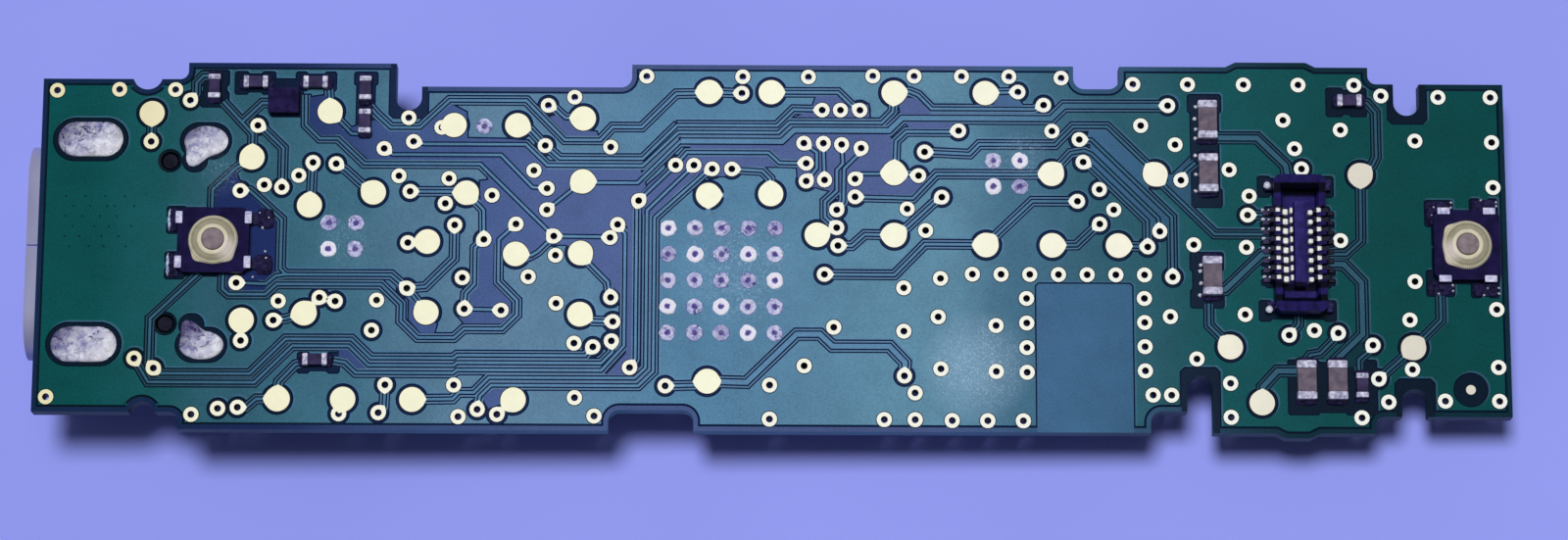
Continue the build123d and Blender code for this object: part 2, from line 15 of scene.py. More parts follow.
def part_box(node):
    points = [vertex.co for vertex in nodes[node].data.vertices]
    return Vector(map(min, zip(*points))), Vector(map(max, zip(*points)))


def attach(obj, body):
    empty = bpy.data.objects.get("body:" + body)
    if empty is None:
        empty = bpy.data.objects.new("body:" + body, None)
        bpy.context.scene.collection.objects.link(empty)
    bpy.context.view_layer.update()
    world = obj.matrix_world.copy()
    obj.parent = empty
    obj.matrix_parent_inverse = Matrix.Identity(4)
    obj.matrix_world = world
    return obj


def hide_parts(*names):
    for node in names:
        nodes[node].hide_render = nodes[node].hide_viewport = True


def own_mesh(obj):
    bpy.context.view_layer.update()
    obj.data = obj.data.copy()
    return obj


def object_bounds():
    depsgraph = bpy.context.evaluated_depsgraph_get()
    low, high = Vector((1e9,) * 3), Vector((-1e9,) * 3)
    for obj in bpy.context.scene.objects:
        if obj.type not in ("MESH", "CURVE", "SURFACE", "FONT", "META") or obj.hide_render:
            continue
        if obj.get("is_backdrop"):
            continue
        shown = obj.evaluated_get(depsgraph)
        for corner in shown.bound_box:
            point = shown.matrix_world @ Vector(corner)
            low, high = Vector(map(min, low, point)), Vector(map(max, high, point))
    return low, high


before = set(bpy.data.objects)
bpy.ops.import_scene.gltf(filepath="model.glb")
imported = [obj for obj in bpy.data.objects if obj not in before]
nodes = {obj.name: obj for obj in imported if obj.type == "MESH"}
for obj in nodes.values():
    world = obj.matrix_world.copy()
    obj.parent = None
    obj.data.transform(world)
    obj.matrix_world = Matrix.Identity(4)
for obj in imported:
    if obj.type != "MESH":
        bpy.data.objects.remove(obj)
cad_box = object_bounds()
MM = 0.001


# ---- Bare board ------------------------------------------------------------------------------
# Glass cloth in epoxy, 0.8 mm thick, routed to shape. The cut edge shows the resin under its
# green lacquer, with the ends of the glass bundles as fine bright dashes in layers.

def srgb(red, green, blue):
    """A colour written the way a paint chart has it, 0 to 255, as the shader takes it."""
    linear = []
    for value in (red, green, blue):
        share = value / 255
        linear.append(share / 12.92 if share <= 0.04045 else ((share + 0.055) / 1.055) ** 2.4)
    return (*linear, 1.0)


def add(tree, kind, **settings):
    """A node with its options set, and its inputs set or linked, by name or by number."""
    made = tree.nodes.new("ShaderNode" + kind)
    for key, value in settings.items():
        if key.startswith("input_"):
            socket = made.inputs[int(key[6:])]
        elif key[0].isupper():
            socket = made.inputs[key.replace("_", " ")]
        else:
            setattr(made, key, value)
            continue
        if isinstance(value, bpy.types.NodeSocket):
            tree.links.new(value, socket)
        else:
            socket.default_value = value
    return made


def ranged(tree, value, low, high, least=0.0, most=1.0):
    """A value carried from one range to another, and kept within it."""
    node = add(tree, "MapRange", Value=value, From_Min=low, From_Max=high, To_Min=least, To_Max=most)
    return node.outputs["Result"]


def mixed(tree, under, over, share=1.0, blend="MIX"):
    """A colour laid over another by a share, or multiplied with it."""
    node = add(tree, "Mix", data_type="RGBA", blend_type=blend, input_0=share, input_6=under, input_7=over)
    return node.outputs[2]


def new_group(name, inputs, outputs):
    """An empty node group with named inputs, each with its default value, and named outputs."""
    group = bpy.data.node_groups.new(name, "ShaderNodeTree")
    for label, default in inputs.items():
        kind = "NodeSocketVector" if isinstance(default, tuple) else "NodeSocketFloat"
        group.interface.new_socket(label, in_out="INPUT", socket_type=kind).default_value = default
    for label in outputs:
        group.interface.new_socket(label, in_out="OUTPUT", socket_type="NodeSocketFloat")
    return group, group.nodes.new("NodeGroupInput"), group.nodes.new("NodeGroupOutput")


def surface_grain():
    """Fine grain and broad patches over a surface, both between 0 and 1."""
    group, given, out = new_group(
        "surface_grain", {"Size": 0.05, "Patch Size": 0.8, "Stretch": (1.0, 1.0, 1.0)}, ["Grain", "Patches"]
    )
    place = add(group, "TexCoord").outputs["Object"]
    stretched = add(group, "VectorMath", operation="MULTIPLY", input_0=place,
                    input_1=given.outputs["Stretch"])
    for size, detail, label in (("Size", 3.0, "Grain"), ("Patch Size", 2.0, "Patches")):
        scale = add(group, "Math", operation="DIVIDE", input_0=1 / MM, input_1=given.outputs[size])
        pattern = add(group, "TexNoise", Vector=stretched.outputs["Vector"], Scale=scale.outputs["Value"],
                      Detail=detail, Roughness=0.6)
        group.links.new(ranged(group, pattern.outputs["Fac"], 0.3, 0.7), out.inputs[label])
    return group


grain_group = surface_grain()


def start_material(name):
    """A node material, with its node tree and its shader."""
    made = bpy.data.materials.new(name)
    made.use_nodes = True
    return made, made.node_tree, made.node_tree.nodes["Principled BSDF"]


def set_surface(tree, shader, colour, gloss, height, bump, depth):
    """Links a finish's colour, its gloss and the height of its relief, so many millimetres deep."""
    relief = add(tree, "Bump", Height=height, Strength=bump, Distance=depth * MM)
    for value, name in ((colour, "Base Color"), (gloss, "Roughness"), (relief.outputs["Normal"], "Normal")):
        tree.links.new(value, shader.inputs[name])


def grained(name, dark, light, roughness, grain=0.05, patch=0.8, stretch=(1, 1, 1), bump=0.3, depth=0.004,
            metallic=0.0, specular=0.5):
    """A finish whose colour drifts in patches and whose fine grain shows in its gloss and relief."""
    made, tree, shader = start_material(name)
    texture = add(tree, "Group", node_tree=grain_group, Size=grain, Patch_Size=patch, Stretch=stretch).outputs
    colour = mixed(tree, dark, light, texture["Patches"])
    gloss = ranged(tree, texture["Grain"], 0.0, 1.0, *roughness)
    set_surface(tree, shader, colour, gloss, texture["Grain"], bump, depth)
    shader.inputs["Metallic"].default_value = metallic
    shader.inputs["Specular IOR Level"].default_value = specular
    return made


def opened(material):
    """A finish's node tree, the socket that takes its colour and the colour that is linked there now."""
    socket = material.node_tree.nodes["Principled BSDF"].inputs["Base Color"]
    return material.node_tree, socket, socket.links[0].from_socket


def colours_at(tree, value, stops, span=1.0, zero=0.0, interpolation="LINEAR"):
    """Colours for a value from 0 to 1, at stops on a span that are counted from a share of it."""
    ramp = add(tree, "ValToRGB", Fac=value)
    ramp.color_ramp.interpolation = interpolation
    elements = ramp.color_ramp.elements
    for end, (reach, colour) in zip(elements, (stops[0], stops[-1])):
        end.position, end.color = reach / span + zero, colour
    for reach, colour in stops[1:-1]:
        elements.new(reach / span + zero).color = colour
    return ramp.outputs["Color"]


def colours_along(tree, axis, start, span, stops, zero=0.0, interpolation="LINEAR"):
    """Colours at places along X, Y or Z, in millimetres, on a span whose start is given in metres."""
    apart = add(tree, "SeparateXYZ", Vector=add(tree, "TexCoord").outputs["Object"])
    share = ranged(tree, apart.outputs[axis], start, start + span * MM)
    return colours_at(tree, share, stops, span, zero, interpolation)


def tint_by(material, axis, start, span, stops):
    """Multiplies a finish by colours set at places, in millimetres from a start along X, Y or Z."""
    tree, socket, plain = opened(material)
    tree.links.new(mixed(tree, plain, colours_along(tree, axis, start, span, stops), 1.0, "MULTIPLY"), socket)


board_low, board_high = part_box("board")
middle = (board_low.x + board_high.x) / 2
face = board_high.z
board_depth = face - board_low.z
tone_start, tone_span = middle - 30 * MM, 60.0  # the stretch along which tones change

white = srgb(255, 255, 255)
cut_edge = grained("cut_edge", srgb(38, 100, 112), srgb(66, 136, 146), (0.45, 0.65), 0.05, 0.5, (0.2, 0.2, 3),
                   bump=0.5)
# Painted shade: the cut edge is darkened toward both ends of the board.
tint_by(cut_edge, "X", tone_start, tone_span, [
    (0.0, srgb(92, 120, 112)), (9.0, srgb(130, 150, 146)), (16.0, white), (38.0, white),
    (44.0, srgb(120, 150, 140)), (60.0, srgb(88, 116, 108)),
])


# ---- Copper under the lacquer, test side -----------------------------------------------------
# A ground plane of etched copper with the signal tracks cut out of it, all under green solder
# mask. The mask sinks where there is no copper, so every copper edge shows as a fine dark line.

track_width, wide_track, gap = 0.1, 0.2, 0.12
wall = 0.06  # width of the slope at each copper edge
copper_height, sunk_height = 0.016, 0.004
plane_setback, plane_slope = 0.19, 0.09  # from the board's edge to the plane, and the slope up to it
pad_radius, via_radius, hole_radius = 0.53, 0.33, 0.15
plating_lap = 0.04  # how far the plating stands out over the copper of its land
ring_gap = 0.07  # bare ring round a land that stands apart from the plane

# Signal tracks as the middles of their bends, millimetres from the board's middle.
tracks = [
    [(-25.5, 5.5), (-25.5, 4.3)],
    [(-23.95, 6.05), (-23.72, 6.35), (-23.72, 6.8), (-23.45, 7.1), (-23, 7.1)],
    [(-22.6, 6), (-21.35, 4.65), (-21.35, 3.65)],
    [(-21.8, 5.15), (-21, 5.95), (-20.5, 5.95)],
    [(-21.15, 5), (-20.95, 4.9), (-20.08, 4.05), (-20.08, 2.4)],
    [(-21.35, 3.65), (-22, 3.2), (-22.92, 2.3), (-22.92, 1.4)],
    [(-21.8, 2.25), (-21.4, 2.25), (-20.07, 1.05), (-20.07, -1), (-19.85, -1.24), (-15.55, -1.24),
     (-14.9, -1.8)],
    [(-21.85, -1.6), (-20.65, -1.64), (-20.25, -1.3), (-19.85, -1.24)],
    [(-22.4, -1.2), (-22.4, -1.85), (-22.15, -2.07), (-20.65, -2.07), (-20.2, -1.64), (-15.95, -1.64),
     (-15.12, -2.45), (-15.12, -3.15), (-14.42, -3.84), (-12.95, -3.84), (-12.55, -3.47), (-11, -3.47),
     (-10.41, -2.88), (-10.41, -2.29), (-11.19, -1.5), (-11.19, 0.25), (-10.5, 0.9)],
    [(-23.36, -1.2), (-25.3, -3.1), (-25.3, -4.9), (-25.1, -5.15)],
    [(-25.9, -4.75), (-25.3, -5.72), (-21, -5.72), (-19.5, -4.2), (-17.2, -4.2), (-16.4, -4.99),
     (-12.95, -4.99), (-12.8, -4.87), (-6.95, -4.87), (-6.5, -4.4), (-6.55, -3.95)],
    [(-25.1, -5.15), (-24.85, -5.36), (-21.2, -5.36), (-19.78, -3.92), (-17.1, -3.92), (-16.3, -4.69),
     (-12.95, -4.69), (-12.8, -4.56), (-7.6, -4.56), (-7.3, -4.2)],
    [(-20.05, -6.4), (-20.02, -5.7), (-19.35, -4.98), (-18.95, -4.9)],
    [(-20.05, -6.4), (-20.9, -6.4), (-21.3, -6.75), (-21.65, -6.75)],
    [(-21.6, -3.15), (-21.6, -4)],
    [(-20.3, -3.15), (-19.8, -3.08), (-19.05, -2.85)],
    [(-19.05, -2.85), (-18.45, -2.2)],
    [(-18.45, -2.2), (-17.8, -2.35)],
    [(-18.85, 3.45), (-18.9, 1.65)],
    [(-17.9, 3.4), (-17.5, 3.15), (-16.9, 2.6), (-16.35, 2.2)],
    [(-14.85, 2.25), (-12.55, 2.25)],
    [(-12.55, 2.2), (-12.05, 1.72), (-11.83, 1.48), (-11.8, 0.25)],
    [(-13, 0.85), (-13, -0.55), (-14.15, -1.73), (-14.9, -1.8)],
    [(-14.9, -1.8), (-14.1, -2.8)],
    [(-14.9, 0.1), (-14.1, 0.15)],
    [(-11.8, 0.25), (-12.15, -0.1), (-12.15, -1.62), (-12.5, -2), (-12.55, -2.65)],
    [(-12.55, -2.65), (-11.05, -2.68)],
    [(-18.2, 5.6), (-18.28, 6.6)],
    [(-18.2, 5.6), (-17.3, 4.68), (-16.95, 4.65)],
    [(-19.2, 6.3), (-19.18, 5.05), (-18.6, 4.47), (-17.85, 4.47), (-16.75, 3.42), (-12, 3.42),
     (-8.95, 0.4)],
    [(-16.6, 5.85), (-16.3, 5.5), (-15.7, 4.94), (-14.5, 4.94), (-13.3, 6.1), (-10.15, 6.1), (-8.55, 4.45),
     (-7.1, 4.45), (-6.6, 5), (-5.4, 5), (-4, 6.42), (-2.65, 6.45)],
    [(-14.75, 4.35), (-14.3, 4.25), (-10.15, 4.25), (-9.25, 3.37), (-5.35, 3.37), (-3.9, 4.79)],
    [(-15.95, 4.05), (-15.6, 3.8), (-11.15, 3.8), (-9.85, 2.45), (-9.25, 2.4)],
    [(-13.6, 4.95), (-13.1, 5.05)],
    [(-10.5, 5.05), (-9.95, 4.85), (-9.35, 4.2), (-8.75, 3.67), (-5.35, 3.67), (-3.95, 5.09)],
    [(-7.8, 2.65), (-5.55, 2.65), (-3.8, 4.42)],
    [(-5.5, 1.9), (-4, 3.4), (-3.55, 3.94), (-0.2, 3.94), (0.25, 3.52), (1.35, 3.5)],
    [(-1.7, 3.25), (-0.45, 3.18), (-0.13, 2.85), (-0.1, 2.2)],
    [(-7.8, 2.7), (-9.25, 1.5)],
    [(-8.95, 0.4), (-6.65, 0.38)],
    [(-10.5, -0.35), (-9.85, -0.4), (-9.6, -0.25), (-8.95, 0.4)],
    [(-6.35, 0.9), (-6.04, 0.5), (-6.04, -4.15), (-6.95, -5.17), (-12.8, -5.17), (-12.95, -5.3),
     (-16.9, -5.3), (-17.35, -4.88), (-17.8, -4.8)],
    [(-7.85, -0.3), (-7.45, -0.75), (-6.72, -1.5), (-6.62, -2.15)],
    [(-7.85, -2.85), (-7.3, -3.12), (-6.5, -3.15)],
    [(-14.6, -6.4), (-12.95, -6.37), (-12.7, -6.1), (-12.1, -6.1), (-11.5, -5.48), (-5.6, -5.48),
     (-5.155, -5.05), (-5.155, 1.5), (-3.55, 3.1), (-3.25, 3.4)],
    [(-11.95, -6.8), (-11.85, -6.25), (-11.4, -5.8), (-5.45, -5.8), (-4.845, -5.2), (-4.845, 1.2),
     (-2.85, 3.05), (-2.5, 3.25)],
    [(-5.5, 1.9), (-5.575, 1.6), (-5.575, -4.7), (-5.8, -5.05)],
    [(-15.7, -5.8), (-15.72, -6.7), (-15.95, -6.95)],
    [(-17.4, -6.4), (-17.55, -7)],
    [(-10.5, -6.4), (-11.15, -7)],
    [(-9.25, 5.9), (-8.95, 5.75), (-8.55, 5.38), (-7.8, 5.35)],
    [(-2.65, 6.5), (-1.3, 6.45)],
    [(-4.35, -5.8), (-2.65, -5.75)],
    [(-0.1, 6.5), (2.65, 6.5), (3.2, 5.95), (3.55, 5.75)],
    [(-3.95, 5.09), (0.15, 5.09), (0.82, 5.77), (2, 5.75)],
    [(-3.9, 4.79), (0.2, 4.79), (0.65, 5.23), (4.45, 5.23), (4.9, 5.7), (4.95, 6.5)],
    [(7.6, 4.9), (7.2, 4.86), (5.45, 4.86), (5.02, 4.45), (4.97, 3.1)],
    [(6.2, 4), (8.05, 3.92), (8.45, 4.33), (10.5, 4.33)],
    [(3.35, 2.85), (3.65, 3.07), (4.95, 3.08)],
    [(4.95, 3.1), (5.95, 3)],
    [(3.35, 2.1), (5.72, 2.05), (6.68, 3.07), (10.5, 3.07)],
    [(2.05, 4.35), (2.1, 2.8)],
    [(2.8, 4.3), (2.85, 3.5), (2.6, 3.22), (2.6, 2.35), (2.12, 1.9), (2.12, 1.25), (2.6, 0.8)],
    [(3.6, 4.15), (3.5, 3.9), (2.9, 3.28), (2.88, 1.9), (2.6, 1.55)],
    [(1.25, 4.35), (1.78, 3.95), (1.78, 3.3), (1.35, 2.75)],
    [(1.8, 0.5), (2.6, 0.8)],
    [(2.65, 0.05), (3.22, 0.05), (3.75, 0.53), (4.95, 0.5)],
    [(4.95, 0.5), (5.5, 0.85), (6.55, 1.85), (6.9, 2.1)],
    [(2.1, -1.15), (4.95, -1.16), (6.2, 0.13), (8.7, 0.12)],
    [(8.7, 6.5), (10.05, 6.55)],
    [(4.95, 6.5), (5.6, 6.55), (5.95, 6.4), (6.5, 5.83), (10.7, 5.83), (11.1, 6)],
    [(10.5, 4.33), (11.55, 4.33), (12.3, 5.1), (13.7, 5.1), (15.3, 3.5), (15.65, 3.1)],
    [(12.55, 4.55), (13.05, 4.55), (16.3, 1.3), (16.3, -1.2)],
    [(12.7, 3.6), (13.05, 3.4), (15.3, 1.15), (15.3, 0.05)],
    [(11.4, 3.1), (12.2, 3.98), (12.75, 4.08), (13.05, 3.95), (15.75, 1.25), (15.8, 0.7)],
    [(10.5, 3.07), (11.4, 3.1)],
    [(12.45, 1.95), (10.6, 1.95), (9.2, 0.6), (8.7, 0.1)],
    [(13.35, 1), (13.1, 0.8), (12.4, 0.12), (11.4, 0.1)],
    [(14.1, 0.1), (15.3, 0.05)],
    [(15.65, 3.1), (16.1, 2.55), (18.05, 0.6), (20.3, 0.6)],
    [(16.7, 2.85), (16.9, 3.25), (17.3, 3.6)],
    [(17.75, -2.3), (17.75, -3.2), (18.25, -3.72), (18.6, -4.1)],
    [(24.05, 3.1), (24.55, 3.5), (24.73, 3.85), (24.73, 5.75), (24.4, 6.15), (24.15, 6.2)],
    [(24.05, 3.1), (24.02, 0.35), (23.4, -0.22), (22.6, -0.22)],
    [(23, -3.5), (22.75, -3.85), (22.25, -4.35), (21.85, -4.42), (21.55, -4.8)],
    [(24.4, -4), (24.15, -4.3), (23.8, -4.6), (23.8, -5.1)],
    [(26.05, -4.1), (25.5, -4.6), (24.6, -5.4)],
    [(26.05, -4.1), (26.5, -3.65), (27.2, -2.95), (27.2, -1.8)],
    [(19.4, 1.4), (20.4, 1.42)],
    [(21, -3.6), (21.4, -3.15), (21.4, -2.8)],
]
wide_tracks = [
    [(-3.8, 4.42), (0.35, 4.42), (0.85, 4.9), (4.75, 4.9), (5.28, 5.43), (10.5, 5.43)],
    [(-2.65, -5.6), (-1.05, -5.64), (0.98, -3.64), (1.92, -3.64), (2.43, -4.13), (4.75, -4.13),
     (5.38, -4.8), (5.35, -5.35)],
    [(10.5, 5.43), (11.4, 5.43), (11.95, 5.97), (16.2, 5.98)],
    [(17.9, 4.65), (19.85, 4.65), (21, 3.5), (21.1, 2.9)],
    [(18.2, -1.75), (18.45, -1.7), (19.95, -0.25), (20.3, -0.2)],
    [(19.85, -6.4), (19.88, -5.75), (20.5, -5.08), (21.3, -5.08)],
    [(22.6, -0.62), (23.3, -0.65), (24, -1.4), (24, -3.55), (22.75, -4.75)],
]

# Short ties from a test pad to the plane round it.
spokes = [[(-2.65, 2.15), (-1.85, 2.15)], [(-2.65, 2.15), (-2.65, 1.35)]]

# Fields with no copper under the mask, where the laminate shows through purple.
bare_fields = [
    [(-12.0, 3.6), (-11.3, 4.12), (-10.2, 4.12), (-9.25, 3.2), (-5.45, 3.2), (-5.2, 2.5), (-5.75, 1.9),
     (-5.8, 1.0), (-6.15, 0.7), (-6.2, -2.0), (-6.8, -1.45), (-7.4, -0.85), (-7.85, -0.3), (-8.45, 0.05),
     (-9.2, 0.05), (-9.75, -0.55), (-10.5, -0.9), (-10.98, -0.6), (-11.35, 0.05), (-11.75, 0.1),
     (-11.75, 1.5), (-11.95, 1.75), (-12.0, 2.7), (-11.65, 2.75)],
    [(-6.75, -5.35), (-5.95, -4.45), (-5.95, 1.5), (-5.75, 1.5), (-5.75, -4.7), (-5.4, -5.1), (-5.65, -5.35)],
    [(-12.0, 0.1), (-11.4, 0.1), (-11.4, -1.6), (-10.65, -2.35), (-10.65, -2.85), (-11.05, -3.25),
     (-12.55, -3.25), (-12.75, -3.0), (-12.3, -2.5), (-12.35, -2.1), (-12.0, -1.7)],
    [(-16.35, 5.25), (-15.75, 4.78), (-14.5, 4.78), (-13.25, 5.95), (-12.6, 5.6), (-12.55, 4.5),
     (-11.0, 4.48), (-10.05, 4.4), (-10.2, 4.1), (-11.2, 3.6), (-16.6, 3.6), (-17.9, 4.75), (-17.1, 5.0)],
    [(-19.05, 6.2), (-19.05, 5.1), (-18.55, 4.6), (-17.95, 4.6), (-17.5, 5.0), (-18.0, 5.3), (-18.4, 6.3)],
    [(-22.8, 2.25), (-22.0, 3.05), (-21.85, 2.7), (-21.3, 2.0), (-20.3, 1.05), (-20.3, -1.15),
     (-20.7, -1.5), (-22.2, -1.3), (-22.8, 1.4)],
    [(-22.25, -1.3), (-22.25, -1.9), (-20.75, -1.9), (-20.55, -1.7), (-21.3, -1.3)],
    [(-15.5, -1.55), (-14.8, -2.3), (-14.8, -3.1), (-14.3, -3.65), (-13.75, -3.65), (-13.65, -3.3),
     (-14.1, -2.8), (-14.6, -2.4), (-15.0, -2.0)],
    [(-17.6, -4.35), (-17.25, -4.35), (-16.5, -5.1), (-16.85, -5.15), (-17.3, -4.7), (-17.6, -4.65)],
    [(-11.75, -6.3), (-11.3, -5.95), (-10.2, -5.95), (-10.5, -6.4), (-11.1, -6.6), (-11.5, -6.75)],
    [(-8.95, 5.5), (-8.4, 5.3), (-7.8, 4.85), (-7.25, 4.8), (-7.2, 4.62), (-8.45, 4.62), (-9.2, 5.4)],
    [(1.75, 6.35), (2.75, 6.35), (3.25, 5.95), (3.9, 6.0), (3.95, 5.45), (0.9, 5.45), (1.55, 5.75)],
    [(-3.4, 4.27), (0.3, 4.27), (0.85, 4.74), (4.72, 4.74), (4.87, 4.5), (4.87, 3.4), (5.5, 3.1),
     (6.15, 2.65), (5.65, 2.2), (3.05, 2.2), (2.3, 2.35), (1.75, 2.5), (1.3, 2.5), (1.0, 2.9),
     (0.95, 3.7), (0.35, 3.68), (-0.15, 4.1), (-3.4, 4.1)],
    [(-3.7, 3.78), (-0.3, 3.78), (0.15, 3.35), (-1.3, 3.35), (-2.0, 2.95), (-2.9, 2.95), (-3.7, 3.1)],
    [(-5.1, 2.6), (-3.6, 3.9), (-3.35, 3.6), (-3.2, 3.0), (-4.9, 1.3), (-5.35, 1.3), (-5.35, 2.2)],
    [(5.45, 6.3), (5.95, 6.25), (6.45, 5.72), (6.45, 5.6), (5.25, 5.6), (5.15, 5.95)],
    [(5.4, 5.25), (7.35, 5.25), (7.35, 5.0), (5.6, 5.0)],
    [(9.3, 6.45), (9.7, 6.45), (10.1, 6.2), (10.3, 5.95), (9.0, 5.95)],
    [(12.95, 4.95), (13.65, 4.95), (15.15, 3.45), (15.1, 3.0), (15.4, 2.55), (15.2, 2.35), (12.9, 4.65)],
    [(13.0, 4.45), (16.15, 1.25), (16.1, 0.75), (15.45, 0.85), (15.4, 1.2), (13.0, 3.6)],
    [(16.2, 3.1), (16.35, 3.1), (17.1, 3.85), (17.1, 1.8), (16.9, 1.9), (16.15, 2.6)],
    [(23.3, -4.0), (23.9, -3.7), (24.05, -4.3), (23.7, -4.9), (22.9, -4.9)],
]

# Footprints of the parts, bare round their own lands: left, low, right and high edge.
footprints = [
    (-23.5, 5.8, -22.4, 7.3), (-22.1, 6.35, -20.5, 7.25), (-20.6, 5.4, -19.35, 6.95),
    (-19.6, 6.5, -18.0, 7.25), (-17.2, 4.25, -16.3, 7.25), (-19.25, -5.3, -17.6, -4.5),
    (17.05, 1.75, 18.35, 6.45), (17.05, -2.45, 18.35, -0.2), (22.75, 5.6, 24.35, 6.75),
    (20.95, -6.85, 24.5, -4.65), (19.86, 2.19, 22.9, 3.01),
    (19.84, -2.99, 22.91, -2.19), (20.12, -1.6, 22.74, 1.73),
    (-24.72, 0.48, -24.0, 1.55), (-24.75, -1.42, -24.0, -0.35), (-24.25, -1.3, -21.2, 1.5),
    (26.68, 0.98, 27.76, 2.02), (28.52, 1.45, 29.6, 2.1), (26.68, -1.93, 27.76, -0.9),
    (28.5, -1.98, 29.58, -1.3), (26.95, -1.4, 29.6, 1.6),
]
# The field kept clear of copper over the aerial, and those round the notches for the case's posts.
aerial_field = (10.73, -7.9, 14.64, -1.5)
notch_fields = [(-15.75, 5.36, -14.2, 8.5), (25.27, 5.3, 26.82, 8.5), (16.58, -8.5, 18.13, -4.98),
                (25.28, -8.5, 26.85, -5.42)]

fiducial_place, fiducial_clearing = (28.33, -5.83), 0.66
# Openings round the solder of the USB shell's legs: the middle and half the length and width.
leg_fields = [
    ((-27.98, 4.38), (1.5, 0.87)), ((-27.97, -4.17), (1.5, 0.87)),
    ((-23.26, 4.34), (1.02, 0.74)), ((-23.2, -4.18), (1.02, 0.7)),
    ((-23.68, 3.5), (0.48, 0.44)), ((-23.62, -3.36), (0.48, 0.44)),
]
# Rows of fine filled bores in the lacquer near the USB socket, from the top row down.
pit_top, pit_pitch, pit_radius = 2.0, 0.42, 0.02
pit_rows = [
    [-28.9, -28.1, -27.3, -26.5], [-28.6, -27.9, -27.2, -26.9, -26.1], [-28.9, -28.2, -27.5, -26.8],
    [-28.6, -27.7, -27.1, -26.2], [-28.9, -28.3, -27.4, -26.7], [-28.7, -27.9, -27.3, -26.4],
]


def on_board(point):
    """A place given in millimetres from the board's middle, in metres."""
    return Vector((middle + point[0] * MM, point[1] * MM))


def capsule(centre, half, sides=28):
    """A long rounded outline, from its middle and half its length and width in millimetres."""
    loop = []
    for index in range(sides):
        turn = 2 * math.pi * (index + 0.5) / sides
        side, up = math.cos(turn), math.sin(turn)
        straight = math.copysign(max(0.0, half[0] - half[1]), side)
        loop.append(centre + Vector((straight + side * half[1], up * half[1])) * MM)
    return loop


def cornered(left, low, right, high, cut):
    """A rectangle with its corners cut off, in millimetres from the board's middle."""
    places = ((left + cut, low), (right - cut, low), (right, low + cut), (right, high - cut),
              (right - cut, high), (left + cut, high), (left, high - cut), (left, low + cut))
    return [on_board(spot) for spot in places]


def island_boxes(node):
    """The low and high corner of each separate solid in a node, in metres."""
    copy = bmesh.new()
    copy.from_mesh(nodes[node].data)
    bmesh.ops.remove_doubles(copy, verts=copy.verts, dist=0.0001 * MM)
    boxes, seen = [], set()
    for start in copy.verts:
        if start in seen:
            continue
        island, queue = [], [start]
        seen.add(start)
        while queue:
            vert = queue.pop()
            island.append(vert.co)
            for edge in vert.link_edges:
                other = edge.other_vert(vert)
                if other not in seen:
                    seen.add(other)
                    queue.append(other)
        boxes.append([Vector([pick(co[axis] for co in island) for axis in range(3)]) for pick in (min, max)])
    copy.free()
    return boxes


def island_centres(node):
    """The middle of each separate solid in a node, seen from above."""
    return [((low + high) / 2).xy for low, high in island_boxes(node)]


def ribbon(line, half):
    """The outline of a strip of even width along a bent line, with mitred bends and square ends."""
    left, right = [], []
    for index, point in enumerate(line):
        before = (point - line[index - 1]).normalized() if index else None
        after = (line[index + 1] - point).normalized() if index + 1 < len(line) else None
        along = ((before or after) + (after or before)).normalized()
        across = Vector((-along.y, along.x))
        reach = half / max(0.5, across.dot(Vector((-(before or after).y, (before or after).x))))
        left.append(point + across * reach)
        right.append(point - across * reach)
    return left + right[::-1]


def disc(centre, radius, sides=20):
    """The outline of a round land or clearance."""
    turn = 2 * math.pi / sides
    return [centre + Vector((math.cos(turn * i), math.sin(turn * i))) * radius for i in range(sides)]


def face_loops(node, height):
    """The outline and the cut-outs of a flat-topped node at a given height."""
    copy = bmesh.new()
    copy.from_mesh(nodes[node].data)
    bmesh.ops.remove_doubles(copy, verts=copy.verts, dist=0.0001 * MM)
    flat = {f for f in copy.faces if all(abs(v.co.z - height) < 0.001 * MM for v in f.verts)}
    rim = [e for e in copy.edges if len(flat.intersection(e.link_faces)) == 1]
    follow = {}
    for edge in rim:
        for vert in edge.verts:
            follow.setdefault(vert, []).append(edge)
    loops, left = [], set(rim)
    while left:
        edge = left.pop()
        start, vert = edge.verts
        loop = [start.co.xy.copy()]
        while vert != start:
            loop.append(vert.co.xy.copy())
            edge = next(e for e in follow[vert] if e in left)
            left.discard(edge)
            vert = edge.other_vert(vert)
        loops.append(loop)
    copy.free()
    return sorted(loops, key=lambda loop: max(p.x for p in loop) - min(p.x for p in loop), reverse=True)


def runs_left(loop):
    """Whether a closed outline has its inside on the left."""
    return sum(a.cross(b) for a, b in zip(loop, loop[1:] + loop[:1])) > 0


def grow(loop, distance):
    """A closed outline moved outwards by the distance, or inwards if it is negative."""
    turn = 1 if runs_left(loop) else -1
    moved = []
    for index, point in enumerate(loop):
        before = (point - loop[index - 1]).normalized()
        after = (loop[(index + 1) % len(loop)] - point).normalized()
        out = Vector((before.y + after.y, -before.x - after.x))
        if out.length < 0.01:
            continue
        out.normalize()
        reach = distance / max(0.4, out.dot(Vector((before.y, -before.x))))
        moved.append(point + out * reach * turn)
    return moved


catch_light = Vector((0.05 * MM, 0.045 * MM))  # the shoulder on the upper right brink of a gap is lightened, a painted highlight


def lay(shapes, level, loop, edge=wall * MM):
    """Adds a shape with its sloped edge: copper stands up from its foot, and all others sink to their
    level from a brink, behind a shoulder lightened as a painted highlight where the slope is a full one."""
    if level == "copper":
        shapes += [("foot", grow(loop, edge)), ("copper", loop)]
    else:
        if edge == wall * MM:
            shapes.append(("shoulder", [point + catch_light for point in grow(loop, edge + 0.02 * MM)]))
        shapes += [("brink", grow(loop, edge)), (level, loop)]
